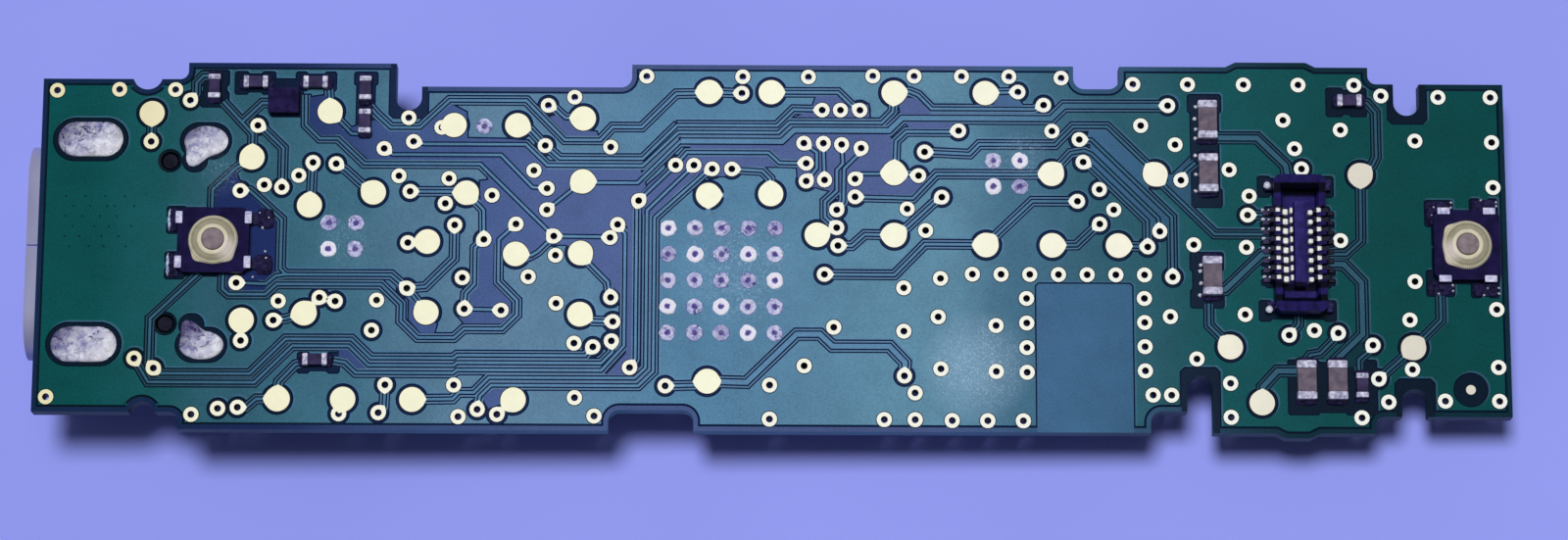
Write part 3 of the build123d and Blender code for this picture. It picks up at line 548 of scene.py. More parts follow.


# The order in which the shapes lie over each other, and the mark that each gives its faces: -0.5 on a
# track, a land or a shoulder lightened as a painted highlight, 0 on the plane, 0.5 at the edge of copper,
# 1 on bare laminate and 1.5 in the middle of the gap beside a track. A moat round a land stays close to the
# edge's mark.
ranks = ["rim", "plane foot", "plane", "shoulder", "brink", "moat", "groove", "clear", "foot", "copper",
         "hole"]
level_of = {"rim": 0.85, "plane foot": 0.5, "plane": 0.0, "shoulder": -0.5, "brink": 0.5, "moat": 0.55,
            "groove": 1.5, "clear": 1.0, "foot": 0.5, "copper": -0.5}


def etched_sheet(shape, shapes, z, up):
    """Adds one face of the board: mask over etched copper, from outlines that say where each is."""
    points, rings = [], []
    for kind, loop in shapes:
        ring = list(range(len(points), len(points) + len(loop)))
        rings.append(ring if runs_left(loop) else ring[::-1])
        points += [point / MM for point in loop]
    flat, _, faces, _, _, parents = delaunay_2d_cdt(points, [], rings, 1, 1e-5)
    kinds = []
    for owners in parents:
        names = {shapes[owner][0] for owner in owners}
        kind = max(names, key=ranks.index, default="hole")
        if "rim" not in names:
            kind = "hole"
        elif kind in ("brink", "shoulder") and "plane" not in names:
            kind = "plane foot" if "plane foot" in names else "rim"
        kinds.append(kind)
    around = [set() for _ in flat]
    for corners, kind in zip(faces, kinds):
        for index in corners:
            around[index].add(level_of.get(kind))
    verts = []
    for point, levels in zip(flat, around):
        on_copper = any(level is not None and level <= 0 for level in levels)
        height = copper_height if on_copper else sunk_height
        verts.append(shape.verts.new((point.x * MM, point.y * MM, z + up * height * MM)))
    for corners, kind in zip(faces, kinds):
        if kind != "hole":
            made = shape.faces.new([verts[i] for i in (corners if up > 0 else corners[::-1])])
            made[sunk] = level_of[kind]
    bmesh.ops.delete(shape, geom=[v for v in verts if not v.link_faces], context="VERTS")


def add_piece(name, shape, slot, *materials, body="circuit_board"):
    """Makes an object from a finished mesh, with its materials and the body it rides on; the slot is not
    used.
    """
    data = bpy.data.meshes.new(name)
    shape.to_mesh(data)
    shape.free()
    made = bpy.data.objects.new(name, data)
    bpy.context.scene.collection.objects.link(made)
    for material in materials:
        data.materials.append(material)
    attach(made, body)
    return made


pads = island_centres("test_pads")
stitches = island_centres("ground_vias")
filled = island_centres("thermal_vias")
# The small vias that carry signals, in millimetres from the board's middle.
signal_vias = [
    (-25.9, -4.75), (-25.5, 4.3), (-25.1, -5.15), (-23.95, 6.05), (-22.45, -6.8), (-21.85, -1.6),
    (-21.8, 2.25), (-21.65, -6.75), (-21.6, -4), (-21.15, 5), (-20.3, -3.15), (-20.1, 2.4), (-18.85, 3.45),
    (-18.45, -2.2), (-17.9, 3.4), (-17.8, -2.35), (-17.55, -7), (-16.3, -3.55), (-15.95, -6.95),
    (-15.95, 4.05), (-15.7, -5.8), (-14.9, -1.8), (-14.9, 0.1), (-14.85, 2.25), (-14.75, 4.35),
    (-13.6, 4.95), (-13.4, 1.75), (-13, 0.85), (-12.65, -1.35), (-12.55, -2.65), (-11.95, -6.8),
    (-11.8, 0.25), (-11.5, 2.1), (-11.15, -7), (-11.05, -2.7), (-10.5, 0.9), (-9.8, 3.15), (-9.35, 4.2),
    (-9.25, 1.5), (-9.25, 2.4), (-9.25, 5.9), (-8.95, 0.4), (-7.3, -4.2), (-6.65, 0.35), (-6.6, -2.15),
    (-6.55, -3.95), (-6.5, -3.15), (-6.35, 0.9), (-5.8, -5.05), (-5.5, 1.9), (-4.35, -5.8), (-4, 3.4),
    (-3.25, 3.4), (-2.5, 3.25), (-1.7, 3.25), (-1.3, 6.45), (1.25, 4.35), (1.35, 2.75), (1.35, 3.5),
    (2, 5.75), (2.05, 4.35), (2.1, -1.15), (2.1, 2.8), (2.6, 0.8), (2.6, 1.55), (2.65, 0.05), (2.75, 5.75),
    (2.8, 4.3), (3.35, 2.1), (3.35, 2.85), (3.55, 5.75), (3.6, 4.15), (5.35, -5.35), (5.95, 3), (6.2, 4),
    (6.9, 2.1), (7.6, 4.9), (10.05, 6.55), (11.1, 6), (12.45, 1.95), (12.55, 4.55), (12.7, 3.6), (13.35, 1),
    (13.35, 2.45), (15.3, 0.05), (15.8, 0.7), (16.2, 6), (16.3, -1.2), (16.7, 2.85), (19.4, 1.4),
    (21, -3.6), (21.65, 3.35), (23, -3.5), (24.4, -4), (24.6, -5.4),
]

signals = [on_board(place) for place in signal_vias]
all_lines = [[on_board(place) for place in line] for line in tracks + wide_tracks]


def leaving(centre, reach=0.22 * MM):
    """The directions in which tracks leave a land."""
    ways = []
    for line in all_lines:
        for end, beyond in ((line[0], line[1]), (line[-1], line[-2])):
            if (end - centre).length < reach:
                ways.append((beyond - end).normalized())
    return ways


def common_shapes(surface):
    """What both faces have: the rim, the plane inside it, the cut-outs and the bores of the vias."""
    loops = face_loops("board", surface)
    plane = grow(loops[0], -plane_setback * MM)
    shapes = [("rim", loops[0]), ("plane foot", plane), ("plane", grow(plane, -plane_slope * MM))]
    shapes += [("hole", loop) for loop in loops[1:]]
    shapes += [("hole", disc(centre, hole_radius * MM, 14)) for centre in signals + stitches]
    for centre in signals:
        lay(shapes, "moat", disc(centre, (via_radius + ring_gap) * MM, 20))
        lay(shapes, "copper", disc(centre, (via_radius - plating_lap) * MM, 14))
    for centre in stitches:
        lay(shapes, "copper", disc(centre, (via_radius - plating_lap) * MM, 14))
    return shapes


top_shapes = common_shapes(face)
for field in bare_fields:
    lay(top_shapes, "clear", [on_board(place) for place in field])
lay(top_shapes, "clear", cornered(*aerial_field, 0.1))
# Each footprint is opened at its two ends, with a narrower waist between them.
end_share, waist_inset, corner_cut = 0.55, 0.1, 0.05
for left, low, right, high in footprints:
    wide, tall = right - left, high - low
    reach = min(wide, tall) * end_share
    if wide > tall:
        ends = ((left, low, left + reach, high), (right - reach, low, right, high))
        waist = (left, low + waist_inset, right, high - waist_inset)
    else:
        ends = ((left, low, right, low + reach), (left, high - reach, right, high))
        waist = (left + waist_inset, low, right - waist_inset, high)
    for opening in ends + (waist,):
        lay(top_shapes, "moat", cornered(*opening, corner_cut))
# Teeth between the tails of the display socket's contacts.
contact_rows, contact_pitch = 8, 0.4
tooth_reach, tooth_half = 0.16, 0.1
for side_x, sign in ((20.12, -1), (22.74, 1)):
    for row in range(contact_rows):
        height = (row - (contact_rows - 1) / 2) * contact_pitch
        left, right = sorted((side_x, side_x + sign * tooth_reach))
        lay(top_shapes, "moat", cornered(left, height - tooth_half, right, height + tooth_half, 0.03))
for opening in notch_fields:
    lay(top_shapes, "moat", cornered(*opening, 0.16))
for lines, width in ((tracks, track_width), (wide_tracks, wide_track)):
    for line in lines:
        bends = [on_board(place) for place in line]
        lay(top_shapes, "groove", ribbon(bends, (width / 2 + gap) * MM))
        lay(top_shapes, "copper", ribbon(bends, width / 2 * MM))
for centre in pads:
    lay(top_shapes, "moat", disc(centre, (pad_radius + ring_gap) * MM, 32))
    lay(top_shapes, "copper", disc(centre, (pad_radius - plating_lap) * MM, 28))
lay(top_shapes, "moat", disc(on_board(fiducial_place), fiducial_clearing * MM, 28))
for middle_of, half in leg_fields:
    lay(top_shapes, "moat", capsule(on_board(middle_of), half))
for row, places in enumerate(pit_rows):
    for place in places:
        pit = disc(on_board((place, pit_top - pit_pitch * row)), pit_radius * MM, 6)
        lay(top_shapes, "clear", pit, pit_radius * MM)
for loop in face_loops("board", face)[1:]:
    width, depth = (max(p[axis] for p in loop) - min(p[axis] for p in loop) for axis in (0, 1))
    if abs(width - depth) < 0.1 * MM:
        top_shapes.append(("brink", grow(loop, 0.12 * MM)))  # dark ring round each peg's hole
for spoke in spokes:
    top_shapes.append(("copper", ribbon([on_board(place) for place in spoke], wide_track / 2 * MM)))

board_mesh = bmesh.new()
sunk = board_mesh.faces.layers.float.new("sunk")
etched_sheet(board_mesh, top_shapes, face, 1)
etched_sheet(board_mesh, common_shapes(board_low.z), board_low.z, -1)
top_rim = [e for e in board_mesh.edges if e.is_boundary and e.verts[0].co.z > face]
cut = bmesh.ops.extrude_edge_only(board_mesh, edges=top_rim)["geom"]
for part in cut:
    if isinstance(part, bmesh.types.BMVert):
        part.co.z = board_low.z - sunk_height * MM
    elif isinstance(part, bmesh.types.BMFace):
        part.material_index = 1
bmesh.ops.remove_doubles(board_mesh, verts=board_mesh.verts, dist=0.0005 * MM)
bmesh.ops.recalc_face_normals(board_mesh, faces=board_mesh.faces)

# Tones of the lacquer over the planes, over tracks and lands, at the edges of copper, over bare
# laminate and in the gaps beside tracks, at places in millimetres from the board's middle. It is green
# at both ends; mid-board every tone is lighter and bluer, a painted sheen. Tracks and lands are lighter
# than the plane round them, a painted sheen, and share their tone with the painted highlight shoulders.
tones = {
    "copper": [(-28, srgb(3, 72, 73)), (-25.5, srgb(16, 80, 84)), (-22.5, srgb(42, 86, 101)),
               (-17.5, srgb(58, 102, 122)), (-14.5, srgb(78, 114, 138)), (-11.5, srgb(90, 124, 150)),
               (-3, srgb(80, 123, 153)), (7, srgb(89, 132, 155)), (10, srgb(63, 104, 128)),
               (14.5, srgb(39, 86, 100)), (18.5, srgb(9, 76, 80)), (26, srgb(1, 66, 66))],
    "raised_lit": [(-26, srgb(50, 90, 110)), (-18, srgb(64, 104, 134)), (-9, srgb(90, 130, 164)),
               (8, srgb(84, 124, 156)), (14, srgb(54, 96, 120)), (24, srgb(44, 82, 100))],
    "edge": [(-26, srgb(1, 18, 30)), (-12, srgb(1, 21, 54)), (8, srgb(1, 21, 54)), (20, srgb(2, 15, 36))],
    "bare": [(-26, srgb(18, 42, 78)), (-21, srgb(24, 40, 90)), (-14, srgb(62, 84, 132)),
             (-8, srgb(76, 94, 142)), (6, srgb(76, 92, 140)), (12, srgb(58, 98, 132)), (22, srgb(4, 46, 56))],
    "gap": [(-26, srgb(34, 68, 84)), (-12, srgb(88, 120, 152)), (8, srgb(88, 120, 154)),
            (20, srgb(34, 72, 88))],
}


def worked(tree, operation, *values):
    """The result of one sum on numbers or sockets."""
    given = {f"input_{index}": value for index, value in enumerate(values)}
    return add(tree, "Math", operation=operation, **given).outputs["Value"]


def distance_from(tree, point):
    """How far a place on the surface is from a point, in metres."""
    place = add(tree, "TexCoord").outputs["Object"]
    return add(tree, "VectorMath", operation="DISTANCE", input_0=place, input_1=point).outputs["Value"]


lacquer, tree, shader = start_material("lacquered_copper")
mark = add(tree, "Attribute", attribute_name="sunk").outputs["Fac"]
toned = {part: colours_along(tree, "X", tone_start, tone_span, stops, 0.5, "EASE")
         for part, stops in tones.items()}
colour = toned["raised_lit"]
for part, low, high in (("copper", -0.5, 0.0), ("edge", 0.0, 0.5), ("bare", 0.5, 1.0), ("gap", 1.0, 1.5)):
    colour = mixed(tree, colour, toned[part], ranged(tree, mark, low, high))
texture = add(tree, "Group", node_tree=grain_group, Size=0.07, Patch_Size=1.6).outputs
clouds = worked(tree, "MULTIPLY_ADD", texture["Patches"], 0.16, 0.76)
specks = worked(tree, "MULTIPLY_ADD", texture["Grain"], 0.32, clouds)
colour = mixed(tree, colour, specks, 1.0, "MULTIPLY")

# Dried flux: pale hairs in a few spots, each with its place, radius, strength and an even haze.
flux_white = srgb(168, 196, 222)
flux_spots = [((8.3, -4.9), 2.4, 0.95, 0.24), ((-1.6, -1.0), 2.9, 0.6, 0.05), ((10.2, 3.9), 1.2, 0.5, 0.05),
              ((-17.4, 0.2), 1.4, 0.4, 0.05), ((-22.5, 2.9), 1.0, 0.3, 0.05)]
hairs = add(tree, "TexNoise", Vector=add(tree, "TexCoord").outputs["Object"], Scale=6.5 / MM, Detail=6.0,
            Roughness=0.7, Distortion=2.2)
for spot, radius, strength, haze in flux_spots:
    away = distance_from(tree, (*on_board(spot), face))
    near = ranged(tree, away, radius * MM, radius * 0.3 * MM, 0.0, strength)
    fleck = ranged(tree, hairs.outputs["Fac"], 0.53, 0.63, haze)
    colour = mixed(tree, colour, flux_white, worked(tree, "MULTIPLY", near, fleck))
gloss = ranged(tree, texture["Grain"], 0.0, 1.0, 0.24, 0.36)
set_surface(tree, shader, colour, gloss, texture["Grain"], 0.25, 0.004)
shader.inputs["Specular IOR Level"].default_value = 0.15

laminate = add_piece("laminate", board_mesh, "solder_mask", lacquer, cut_edge)
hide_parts("board")


# ---- Test pads and plated vias -----------------------------------------------------------------
# Nickel and a flash of gold on the copper that the mask leaves open. A via's plating runs down its
# bore to a land on the other side, and each land has a point where a track leaves it.

land_height, land_slope = 0.03, 0.02


def turned(profile, sides):
    """A mesh for a round part: (radius, height) pairs in millimetres turned about the Z axis."""
    shape = bmesh.new()
    rim = [shape.verts.new((radius * MM, 0, height * MM)) for radius, height in profile]
    line = [shape.edges.new(pair) for pair in zip(rim, rim[1:])]
    bmesh.ops.spin(shape, geom=rim + line, cent=(0, 0, 0), axis=(0, 0, 1), angle=2 * math.pi,
                   steps=sides, use_merge=True)
    bmesh.ops.remove_doubles(shape, verts=shape.verts, dist=0.0005 * MM)
    bmesh.ops.recalc_face_normals(shape, faces=shape.faces)
    data = bpy.data.meshes.new("turned")
    shape.to_mesh(data)
    shape.free()
    return data


def place_copy(shape, master, centre, turn=0.0, z=0.0):
    """Adds a copy of a small mesh to a bigger one, and gives back its points."""
    count = len(shape.verts)
    shape.from_mesh(master)
    shape.verts.ensure_lookup_table()
    copied = shape.verts[count:]
    spin = Matrix.Rotation(turn, 3, "Z")
    for vert in copied:
        vert.co = spin @ vert.co + Vector((centre.x, centre.y, z))
    return copied


def pull_points(verts, centre, radius, ways, reach):
    """Draws the rim of a land out to a point along each way, along its tangents."""
    spread = math.acos(1 / reach)
    for vert in verts:
        out = vert.co.xy - centre
        if out.length < radius * 0.8:
            continue
        for way in ways:
            off = abs(out.angle_signed(way))
            if off < spread:
                stretched = out.normalized() * radius / math.cos(spread - off)
                vert.co.x, vert.co.y = centre.x + stretched.x, centre.y + stretched.y


foot = -board_depth / MM - land_height
via_profile = [
    (via_radius, 0.0), (via_radius - land_slope, land_height), (hole_radius - 0.005, land_height),
    (hole_radius - 0.005, foot), (via_radius - land_slope, foot), (via_radius, foot + land_height),
]
via_master = turned(via_profile, 14)
via_mesh = bmesh.new()
for centre in signals + stitches:
    ways = leaving(centre)
    turn = math.atan2(ways[0].y, ways[0].x) if ways else 0.0
    verts = place_copy(via_mesh, via_master, centre, turn, face)
    upper = [v for v in verts if v.co.z > board_low.z + board_depth / 2]
    pull_points(upper, centre, via_radius * MM, ways, 1.17)

pad_profile = [
    (pad_radius, 0.0), (pad_radius - land_slope, land_height), (pad_radius * 0.6, land_height + 0.003),
    (0.0, land_height + 0.004),
]
pad_master = turned(pad_profile, 28)
pad_mesh = bmesh.new()
for centre in pads:
    ways = leaving(centre) + [(place[1] - place[0]).normalized() for place in
                              ([on_board(p) for p in spoke] for spoke in spokes)
                              if (place[0] - centre).length < 0.2 * MM]
    turn = math.atan2(ways[0].y, ways[0].x) if ways else 0.0
    verts = place_copy(pad_mesh, pad_master, centre, turn, face)
    pull_points(verts, centre, pad_radius * MM, ways, 1.12)


def gold_finish(name, stops):
    """Soft gold, paler mid-board and darker toward the ends as painted light, and brown as painted shade on
    the lands' sloped foot and down the bores.
    """
    made = grained(name, srgb(250, 250, 250), white, (0.35, 0.5), 0.03, 0.5, bump=0.2, depth=0.002,
                   metallic=0.12, specular=0.3)
    tree, socket, plain = opened(made)
    painted_light_along = colours_along(tree, "X", tone_start, tone_span, stops, 0.5)
    lit_gold = mixed(tree, painted_light_along, plain, 1.0, "MULTIPLY")
    apart = add(tree, "SeparateXYZ", Vector=add(tree, "TexCoord").outputs["Object"])
    half = board_depth / 2
    height = worked(tree, "ABSOLUTE", worked(tree, "SUBTRACT", apart.outputs["Z"], face - half))
    top = ranged(tree, height, half + 0.018 * MM, half + 0.026 * MM)
    tree.links.new(mixed(tree, srgb(92, 66, 40), lit_gold, top), socket)
    return made


pad_gold = gold_finish("pad_gold", [
    (-28, srgb(228, 214, 164)), (-23, srgb(251, 246, 212)), (0, srgb(255, 254, 226)),
    (17, srgb(252, 248, 226)), (23, srgb(226, 220, 204)),
])
via_gold = gold_finish("via_gold", [
    (-28, srgb(238, 230, 186)), (-22, srgb(253, 250, 228)), (24, srgb(249, 249, 238)),
])
via_piece = add_piece("plated_vias", via_mesh, "plated_gold", via_gold)
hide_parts("ground_vias")
pad_piece = add_piece("round_pads", pad_mesh, "plated_gold", pad_gold)
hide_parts("test_pads")


# ---- Solder-filled vias and the target mark ----------------------------------------------------
# Vias under the hot packages, filled when those are soldered on the far side: each ends in a lumpy
# skin of solder with a pit. The round target is bare gold, for the assembly machine's camera.

def smooth(piece):
    """Shades a piece as curved."""
    for polygon in piece.data.polygons:
        polygon.use_smooth = True


def roughen(verts, size, lift, sway=0.0, seed=0.0):
    """Moves points up, down and sideways by noise of the given grain."""
    for vert in verts:
        spot = vert.co / (size * MM) + Vector((seed, -seed, seed))
        vert.co.z += noise.noise(spot) * lift * MM
        vert.co.x += noise.noise(spot + Vector((7.1, 0, 0))) * sway * MM
        vert.co.y += noise.noise(spot + Vector((0, 9.3, 0))) * sway * MM


def solder_finish(name, dark, pale, size, dull=(0.22, 0.5), metal=0.3, pit=srgb(44, 38, 84)):
    """Set solder: silver to lilac, dull between its bright folds, with dark spots of painted shade for its
    pits.
    """
    made = grained(name, dark, pale, dull, size * 0.4, size, bump=0.8, depth=0.02, metallic=metal)
    tree, socket, plain = opened(made)
    cells = add(tree, "TexNoise", Vector=add(tree, "TexCoord").outputs["Object"], Scale=0.9 / (size * MM),
                Detail=5.0, Roughness=0.75, Distortion=0.8)
    tree.links.new(mixed(tree, plain, pit, ranged(tree, cells.outputs["Fac"], 0.47, 0.38)), socket)
    return made


def tone_by_mark(material, mark, tones_of_mark):
    """Mixes colours into a finish by a number kept on the mesh, each from one value of it to another."""
    tree, socket, toned = opened(material)
    number = add(tree, "Attribute", attribute_name=mark).outputs["Fac"]
    for low, high, colour, most in tones_of_mark:
        toned = mixed(tree, toned, colour, ranged(tree, number, low, high, 0.0, most))
    tree.links.new(toned, socket)


filled_finish = solder_finish("filled_via_solder", srgb(150, 150, 206), srgb(222, 224, 248), 0.22,
                              (0.35, 0.6), 0.12, srgb(70, 66, 128))
# Painted light by height: the skins are darker low down and white on their tops.
tint_by(filled_finish, "Z", face, 0.1, [(0.008, srgb(96, 104, 150)), (0.022, srgb(150, 128, 200)),
                                        (0.03, srgb(158, 136, 206)), (0.044, white), (0.08, white)])
# Painted shade in the pit of each skin, painted highlights over two skins in every seven, and a little of
# either on the rest.
tone_by_mark(filled_finish, "painted_light", ((0.0, -1.0, srgb(78, 62, 132), 0.85),
                                      (0.0, 1.0, srgb(250, 246, 255), 0.9)))
skin_profile = [
    (0.35, 0.0), (0.33, 0.035), (0.27, 0.055), (0.2, 0.05), (0.15, 0.052), (0.1, 0.036), (0.05, 0.028),
    (0.0, 0.027),
]
skin_master = turned(skin_profile, 16)
skin_mesh = bmesh.new()
painted_light = skin_mesh.verts.layers.float.new("painted_light")
for number, centre in enumerate(filled):
    verts = place_copy(skin_mesh, skin_master, centre, number * 1.3, face + 0.004 * MM)
    roughen(verts, 0.16, 0.022, 0.05, number * 3.7)
    for vert in verts:
        away = (vert.co.xy - centre).length / MM
        vert[painted_light] = -1.0 if away < 0.12 else (0.9 if number % 7 in (2, 5) else 0.3 * math.sin(number * 2.7))
        if away < 0.28:
            vert.co.z = max(face + 0.022 * MM, vert.co.z)
        vert.co.z = max(face + 0.003 * MM, vert.co.z)
skin_piece = add_piece("filled_via_skins", skin_mesh, "solder", filled_finish)
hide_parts("thermal_vias")

target_mesh = bmesh.new()
target_profile = [(0.21, 0.0), (0.195, 0.03), (0.1, 0.034), (0.0, 0.035)]
place_copy(target_mesh, turned(target_profile, 24), on_board(fiducial_place), 0.0, face)
target_piece = add_piece("target_mark", target_mesh, "plated_gold", pad_gold)
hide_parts("fiducial")


# ---- USB socket --------------------------------------------------------------------------------
# Nickel-plated steel rolled into a flat tube, held by four legs soldered through slots in the
# board. Wave solder stands in a lumpy cap over each leg, and runs into a side lobe at the rear two.

def shaped_cap(shape, centre, reach, rise, seed, sides=44):
    """A low cap of solder whose reach is given for each direction, up to a given height."""
    rings = [(1.0, 0.0), (0.96, 0.45), (0.86, 0.75), (0.7, 0.92), (0.5, 1.0), (0.3, 0.98), (0.14, 0.96),
             (0.0, 0.95)]
    master = turned(rings, sides)
    verts = place_copy(shape, master, Vector((0.0, 0.0)))
    for vert in verts:
        share = vert.co.xy.length / MM
        turn = math.atan2(vert.co.y, vert.co.x)
        out = reach(turn) * share
        height = vert.co.z / MM * rise
        vert.co = Vector((math.cos(turn) * out * MM + centre.x, math.sin(turn) * out * MM + centre.y,
                          face + height * MM))
    roughen([v for v in verts if v.co.z > face + 0.01 * MM], 0.3, rise * 0.8, 0.04, seed)
    for vert in verts:
        vert.co.z = min(max(vert.co.z, face), face + rise * 1.25 * MM)


def long_reach(half):
    """How far a rounded bar reaches in a direction."""
    def reach(turn):
        side, up = abs(math.cos(turn)), abs(math.sin(turn))
        straight = half[0] - half[1]
        if up * straight >= side * half[1]:
            return half[1] / up
        return straight * side + math.sqrt(max(0.0, half[1] ** 2 - (straight * up) ** 2))
    return reach


def lobed_reach(half, lobe_turn, lobe_rise, lobe_width):
    """How far an oval that swells to one side reaches in a direction; turns in degrees."""
    def reach(turn):
        oval = 1 / math.sqrt((math.cos(turn) / half[0]) ** 2 + (math.sin(turn) / half[1]) ** 2)
        off = (math.degrees(turn) - lobe_turn + 180) % 360 - 180
        return oval + lobe_rise * math.exp(-((off / lobe_width) ** 2))
    return reach


caps_mesh = bmesh.new()
light_side = caps_mesh.verts.layers.float.new("light_side")
leg_caps_at = [((-27.98, 4.4), long_reach((1.33, 0.73)), 1.35),
               ((-27.97, -4.17), long_reach((1.34, 0.73)), 1.35),
               ((-23.24, 4.33), lobed_reach((0.9, 0.64), -121, 0.55, 24), 1.0),
               ((-23.19, -4.19), lobed_reach((0.9, 0.6), 124, 0.58, 24), 1.0)]
for number, (place, reach, half) in enumerate(leg_caps_at):
    shaped_cap(caps_mesh, on_board(place), reach, 0.11, 1.0 + 4.0 * number)
# Painted light on each cap: white toward its lower right, and dark as painted shade toward its upper left.
for vert in caps_mesh.verts:
    middle_of, half = min(((on_board(place), half) for place, _, half in leg_caps_at),
                          key=lambda cap: (vert.co.xy - cap[0]).length)
    out = (vert.co.xy - middle_of) / MM
    vert[light_side] = (out.x * 0.75 - out.y * 0.85) / half
leg_finish = solder_finish("leg_cap_solder", srgb(128, 126, 178), srgb(240, 240, 252), 0.34, (0.18, 0.45),
                           0.25)
tone_by_mark(leg_finish, "light_side", ((-0.1, -1.0, srgb(48, 38, 96), 0.85),
                                  (0.0, 0.8, srgb(252, 250, 255), 0.75)))
caps_piece = add_piece("leg_caps", caps_mesh, "solder", leg_finish)
smooth(caps_piece)
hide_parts("leg_solder")


def dress(name, material, bevel=0.0, segments=2):
    """Gives a node its finish, and rounds its edges by so many millimetres."""
    node = nodes[name]
    node.data.materials.clear()
    node.data.materials.append(material)
    if bevel:
        merge = node.modifiers.new("merge", "WELD")
        merge.merge_threshold = 0.0005 * MM
        soften = node.modifiers.new("soften", "BEVEL")
        soften.width = bevel * MM
        soften.segments = segments
        soften.limit_method = "ANGLE"
        soften.angle_limit = math.radians(40)
        soften.harden_normals = False
    return node


steel = grained("socket_steel", srgb(140, 140, 176), srgb(172, 172, 204), (0.3, 0.42), 0.04, 1.5,
                (1, 0.15, 1), bump=0.3, metallic=0.3)
dress("usb_shell", steel)
black = grained("socket_plastic", srgb(14, 12, 26), srgb(30, 28, 44), (0.4, 0.6), 0.05, 0.4, bump=0.4,
                specular=0.2)
dress("usb_insulator", black)
strip_gold = grained("strip_gold", srgb(226, 196, 120), srgb(248, 226, 160), (0.25, 0.4), 0.03, 0.4,
                     metallic=0.6)
dress("usb_contacts", strip_gold)


# ---- Display socket ----------------------------------------------------------------------------
# A moulded tub round a tongue, with two rows of eight bright spring contacts that hook over its
# walls. Their tails and the four corner tabs are soldered down, with beads of solder at the left, made pale
# as painted highlights.

def solid_of(reach_x, reach_y, power=4):
    """How far a block with well rounded corners reaches in a direction."""
    def reach(turn):
        side, up = abs(math.cos(turn)) / reach_x, abs(math.sin(turn)) / reach_y
        return 1 / (side ** power + up ** power) ** (1 / power)
    return reach


indigo = grained("socket_moulding", srgb(27, 21, 72), srgb(54, 47, 112), (0.35, 0.5), 0.06, 0.35, bump=0.4,
                 specular=0.2)
# Painted light and shade by height: lightest at the tongue's top, darker on the floor, the tongue's sides and
# the wall tops.
tint_by(indigo, "Z", face, 1.0, [(0.2, srgb(208, 202, 232)), (0.46, srgb(150, 140, 200)), (0.6, white),
                                 (0.72, srgb(196, 190, 226)), (0.92, srgb(168, 160, 204))])
tub_shade = srgb(30, 14, 84)  # painted shade in the tub, beside its end walls and at the tongue's lower end
tint_by(indigo, "Y", -3 * MM, 6.0, [
    (0.6, white), (0.68, tub_shade), (0.9, tub_shade), (0.96, white), (1.16, white), (1.22, tub_shade),
    (1.46, tub_shade), (1.52, white), (5.1, white), (5.2, tub_shade), (5.56, tub_shade), (5.62, white),
])
dress("display_housing", indigo, 0.03)

# Each strip shows its bright metal only where it bends over the wall and at its sprung tip, as painted
# highlights; the rest of the strip is darkened as painted shade.
contact_shade, contact_dull_shade = srgb(16, 10, 40), srgb(60, 54, 92)
contact_metal = grained("contact_metal", srgb(222, 220, 224), srgb(254, 253, 246), (0.2, 0.4), 0.05, 0.12,
                        bump=0.3, metallic=0.2)
strip_start, strip_end = 20.3, 23.0
stops = [(0.0, contact_dull_shade)]
for bend in (20.86, 22.53):
    place = bend - strip_start
    stops += [(place - 0.1, contact_shade), (place - 0.06, white), (place + 0.06, white),
              (place + 0.1, contact_shade)]
stops.append((strip_end - strip_start, contact_shade))
tint_by(contact_metal, "X", strip_start * MM, 3.0, stops)
dress("display_contacts", contact_metal, 0.02)

tip_metal = grained("sprung_tips", srgb(216, 214, 214), srgb(255, 254, 244), (0.2, 0.4), 0.05, 0.1, bump=0.3,
                    metallic=0.15)
contact_low, contact_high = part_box("display_contacts")
socket_y = (contact_low.y + contact_high.y) / 2
tip_mesh = bmesh.new()
for row in range(contact_rows):
    row_y = (row - (contact_rows - 1) / 2) * contact_pitch
    for reach, half_x, tall, drop, rise in ((21.16, 0.11, 0.25, 0.09, 0.5), (21.42, 0.06, 0.25, 0.0, 0.4),
                                            (22.2, 0.1, 0.2, 0.08, 0.4)):
        block = bmesh.ops.create_cube(tip_mesh, size=1.0)["verts"]
        bmesh.ops.scale(tip_mesh, verts=block, vec=(2 * half_x * MM, tall * MM, 0.4 * MM))
        bmesh.ops.translate(tip_mesh, verts=block,
                            vec=(reach * MM, socket_y + (row_y - drop) * MM, face + rise * MM))
rims = [e for e in tip_mesh.edges if any(v.co.z > face + 0.5 * MM for v in e.verts)]
bmesh.ops.bevel(tip_mesh, geom=rims, offset=0.05 * MM, segments=2, affect="EDGES", profile=0.5, material=-1)
add_piece("contact_tips", tip_mesh, "contact_gold", tip_metal)
tab_solder = solder_finish("tab_solder", srgb(20, 16, 58), srgb(66, 60, 118), 0.15, pit=srgb(10, 6, 36))
dress("display_anchors", tab_solder, 0.04)
bead_metal = grained("solder_bead", srgb(206, 208, 236), srgb(250, 250, 255), (0.12, 0.25), 0.05, 0.2,
                     metallic=0.4)

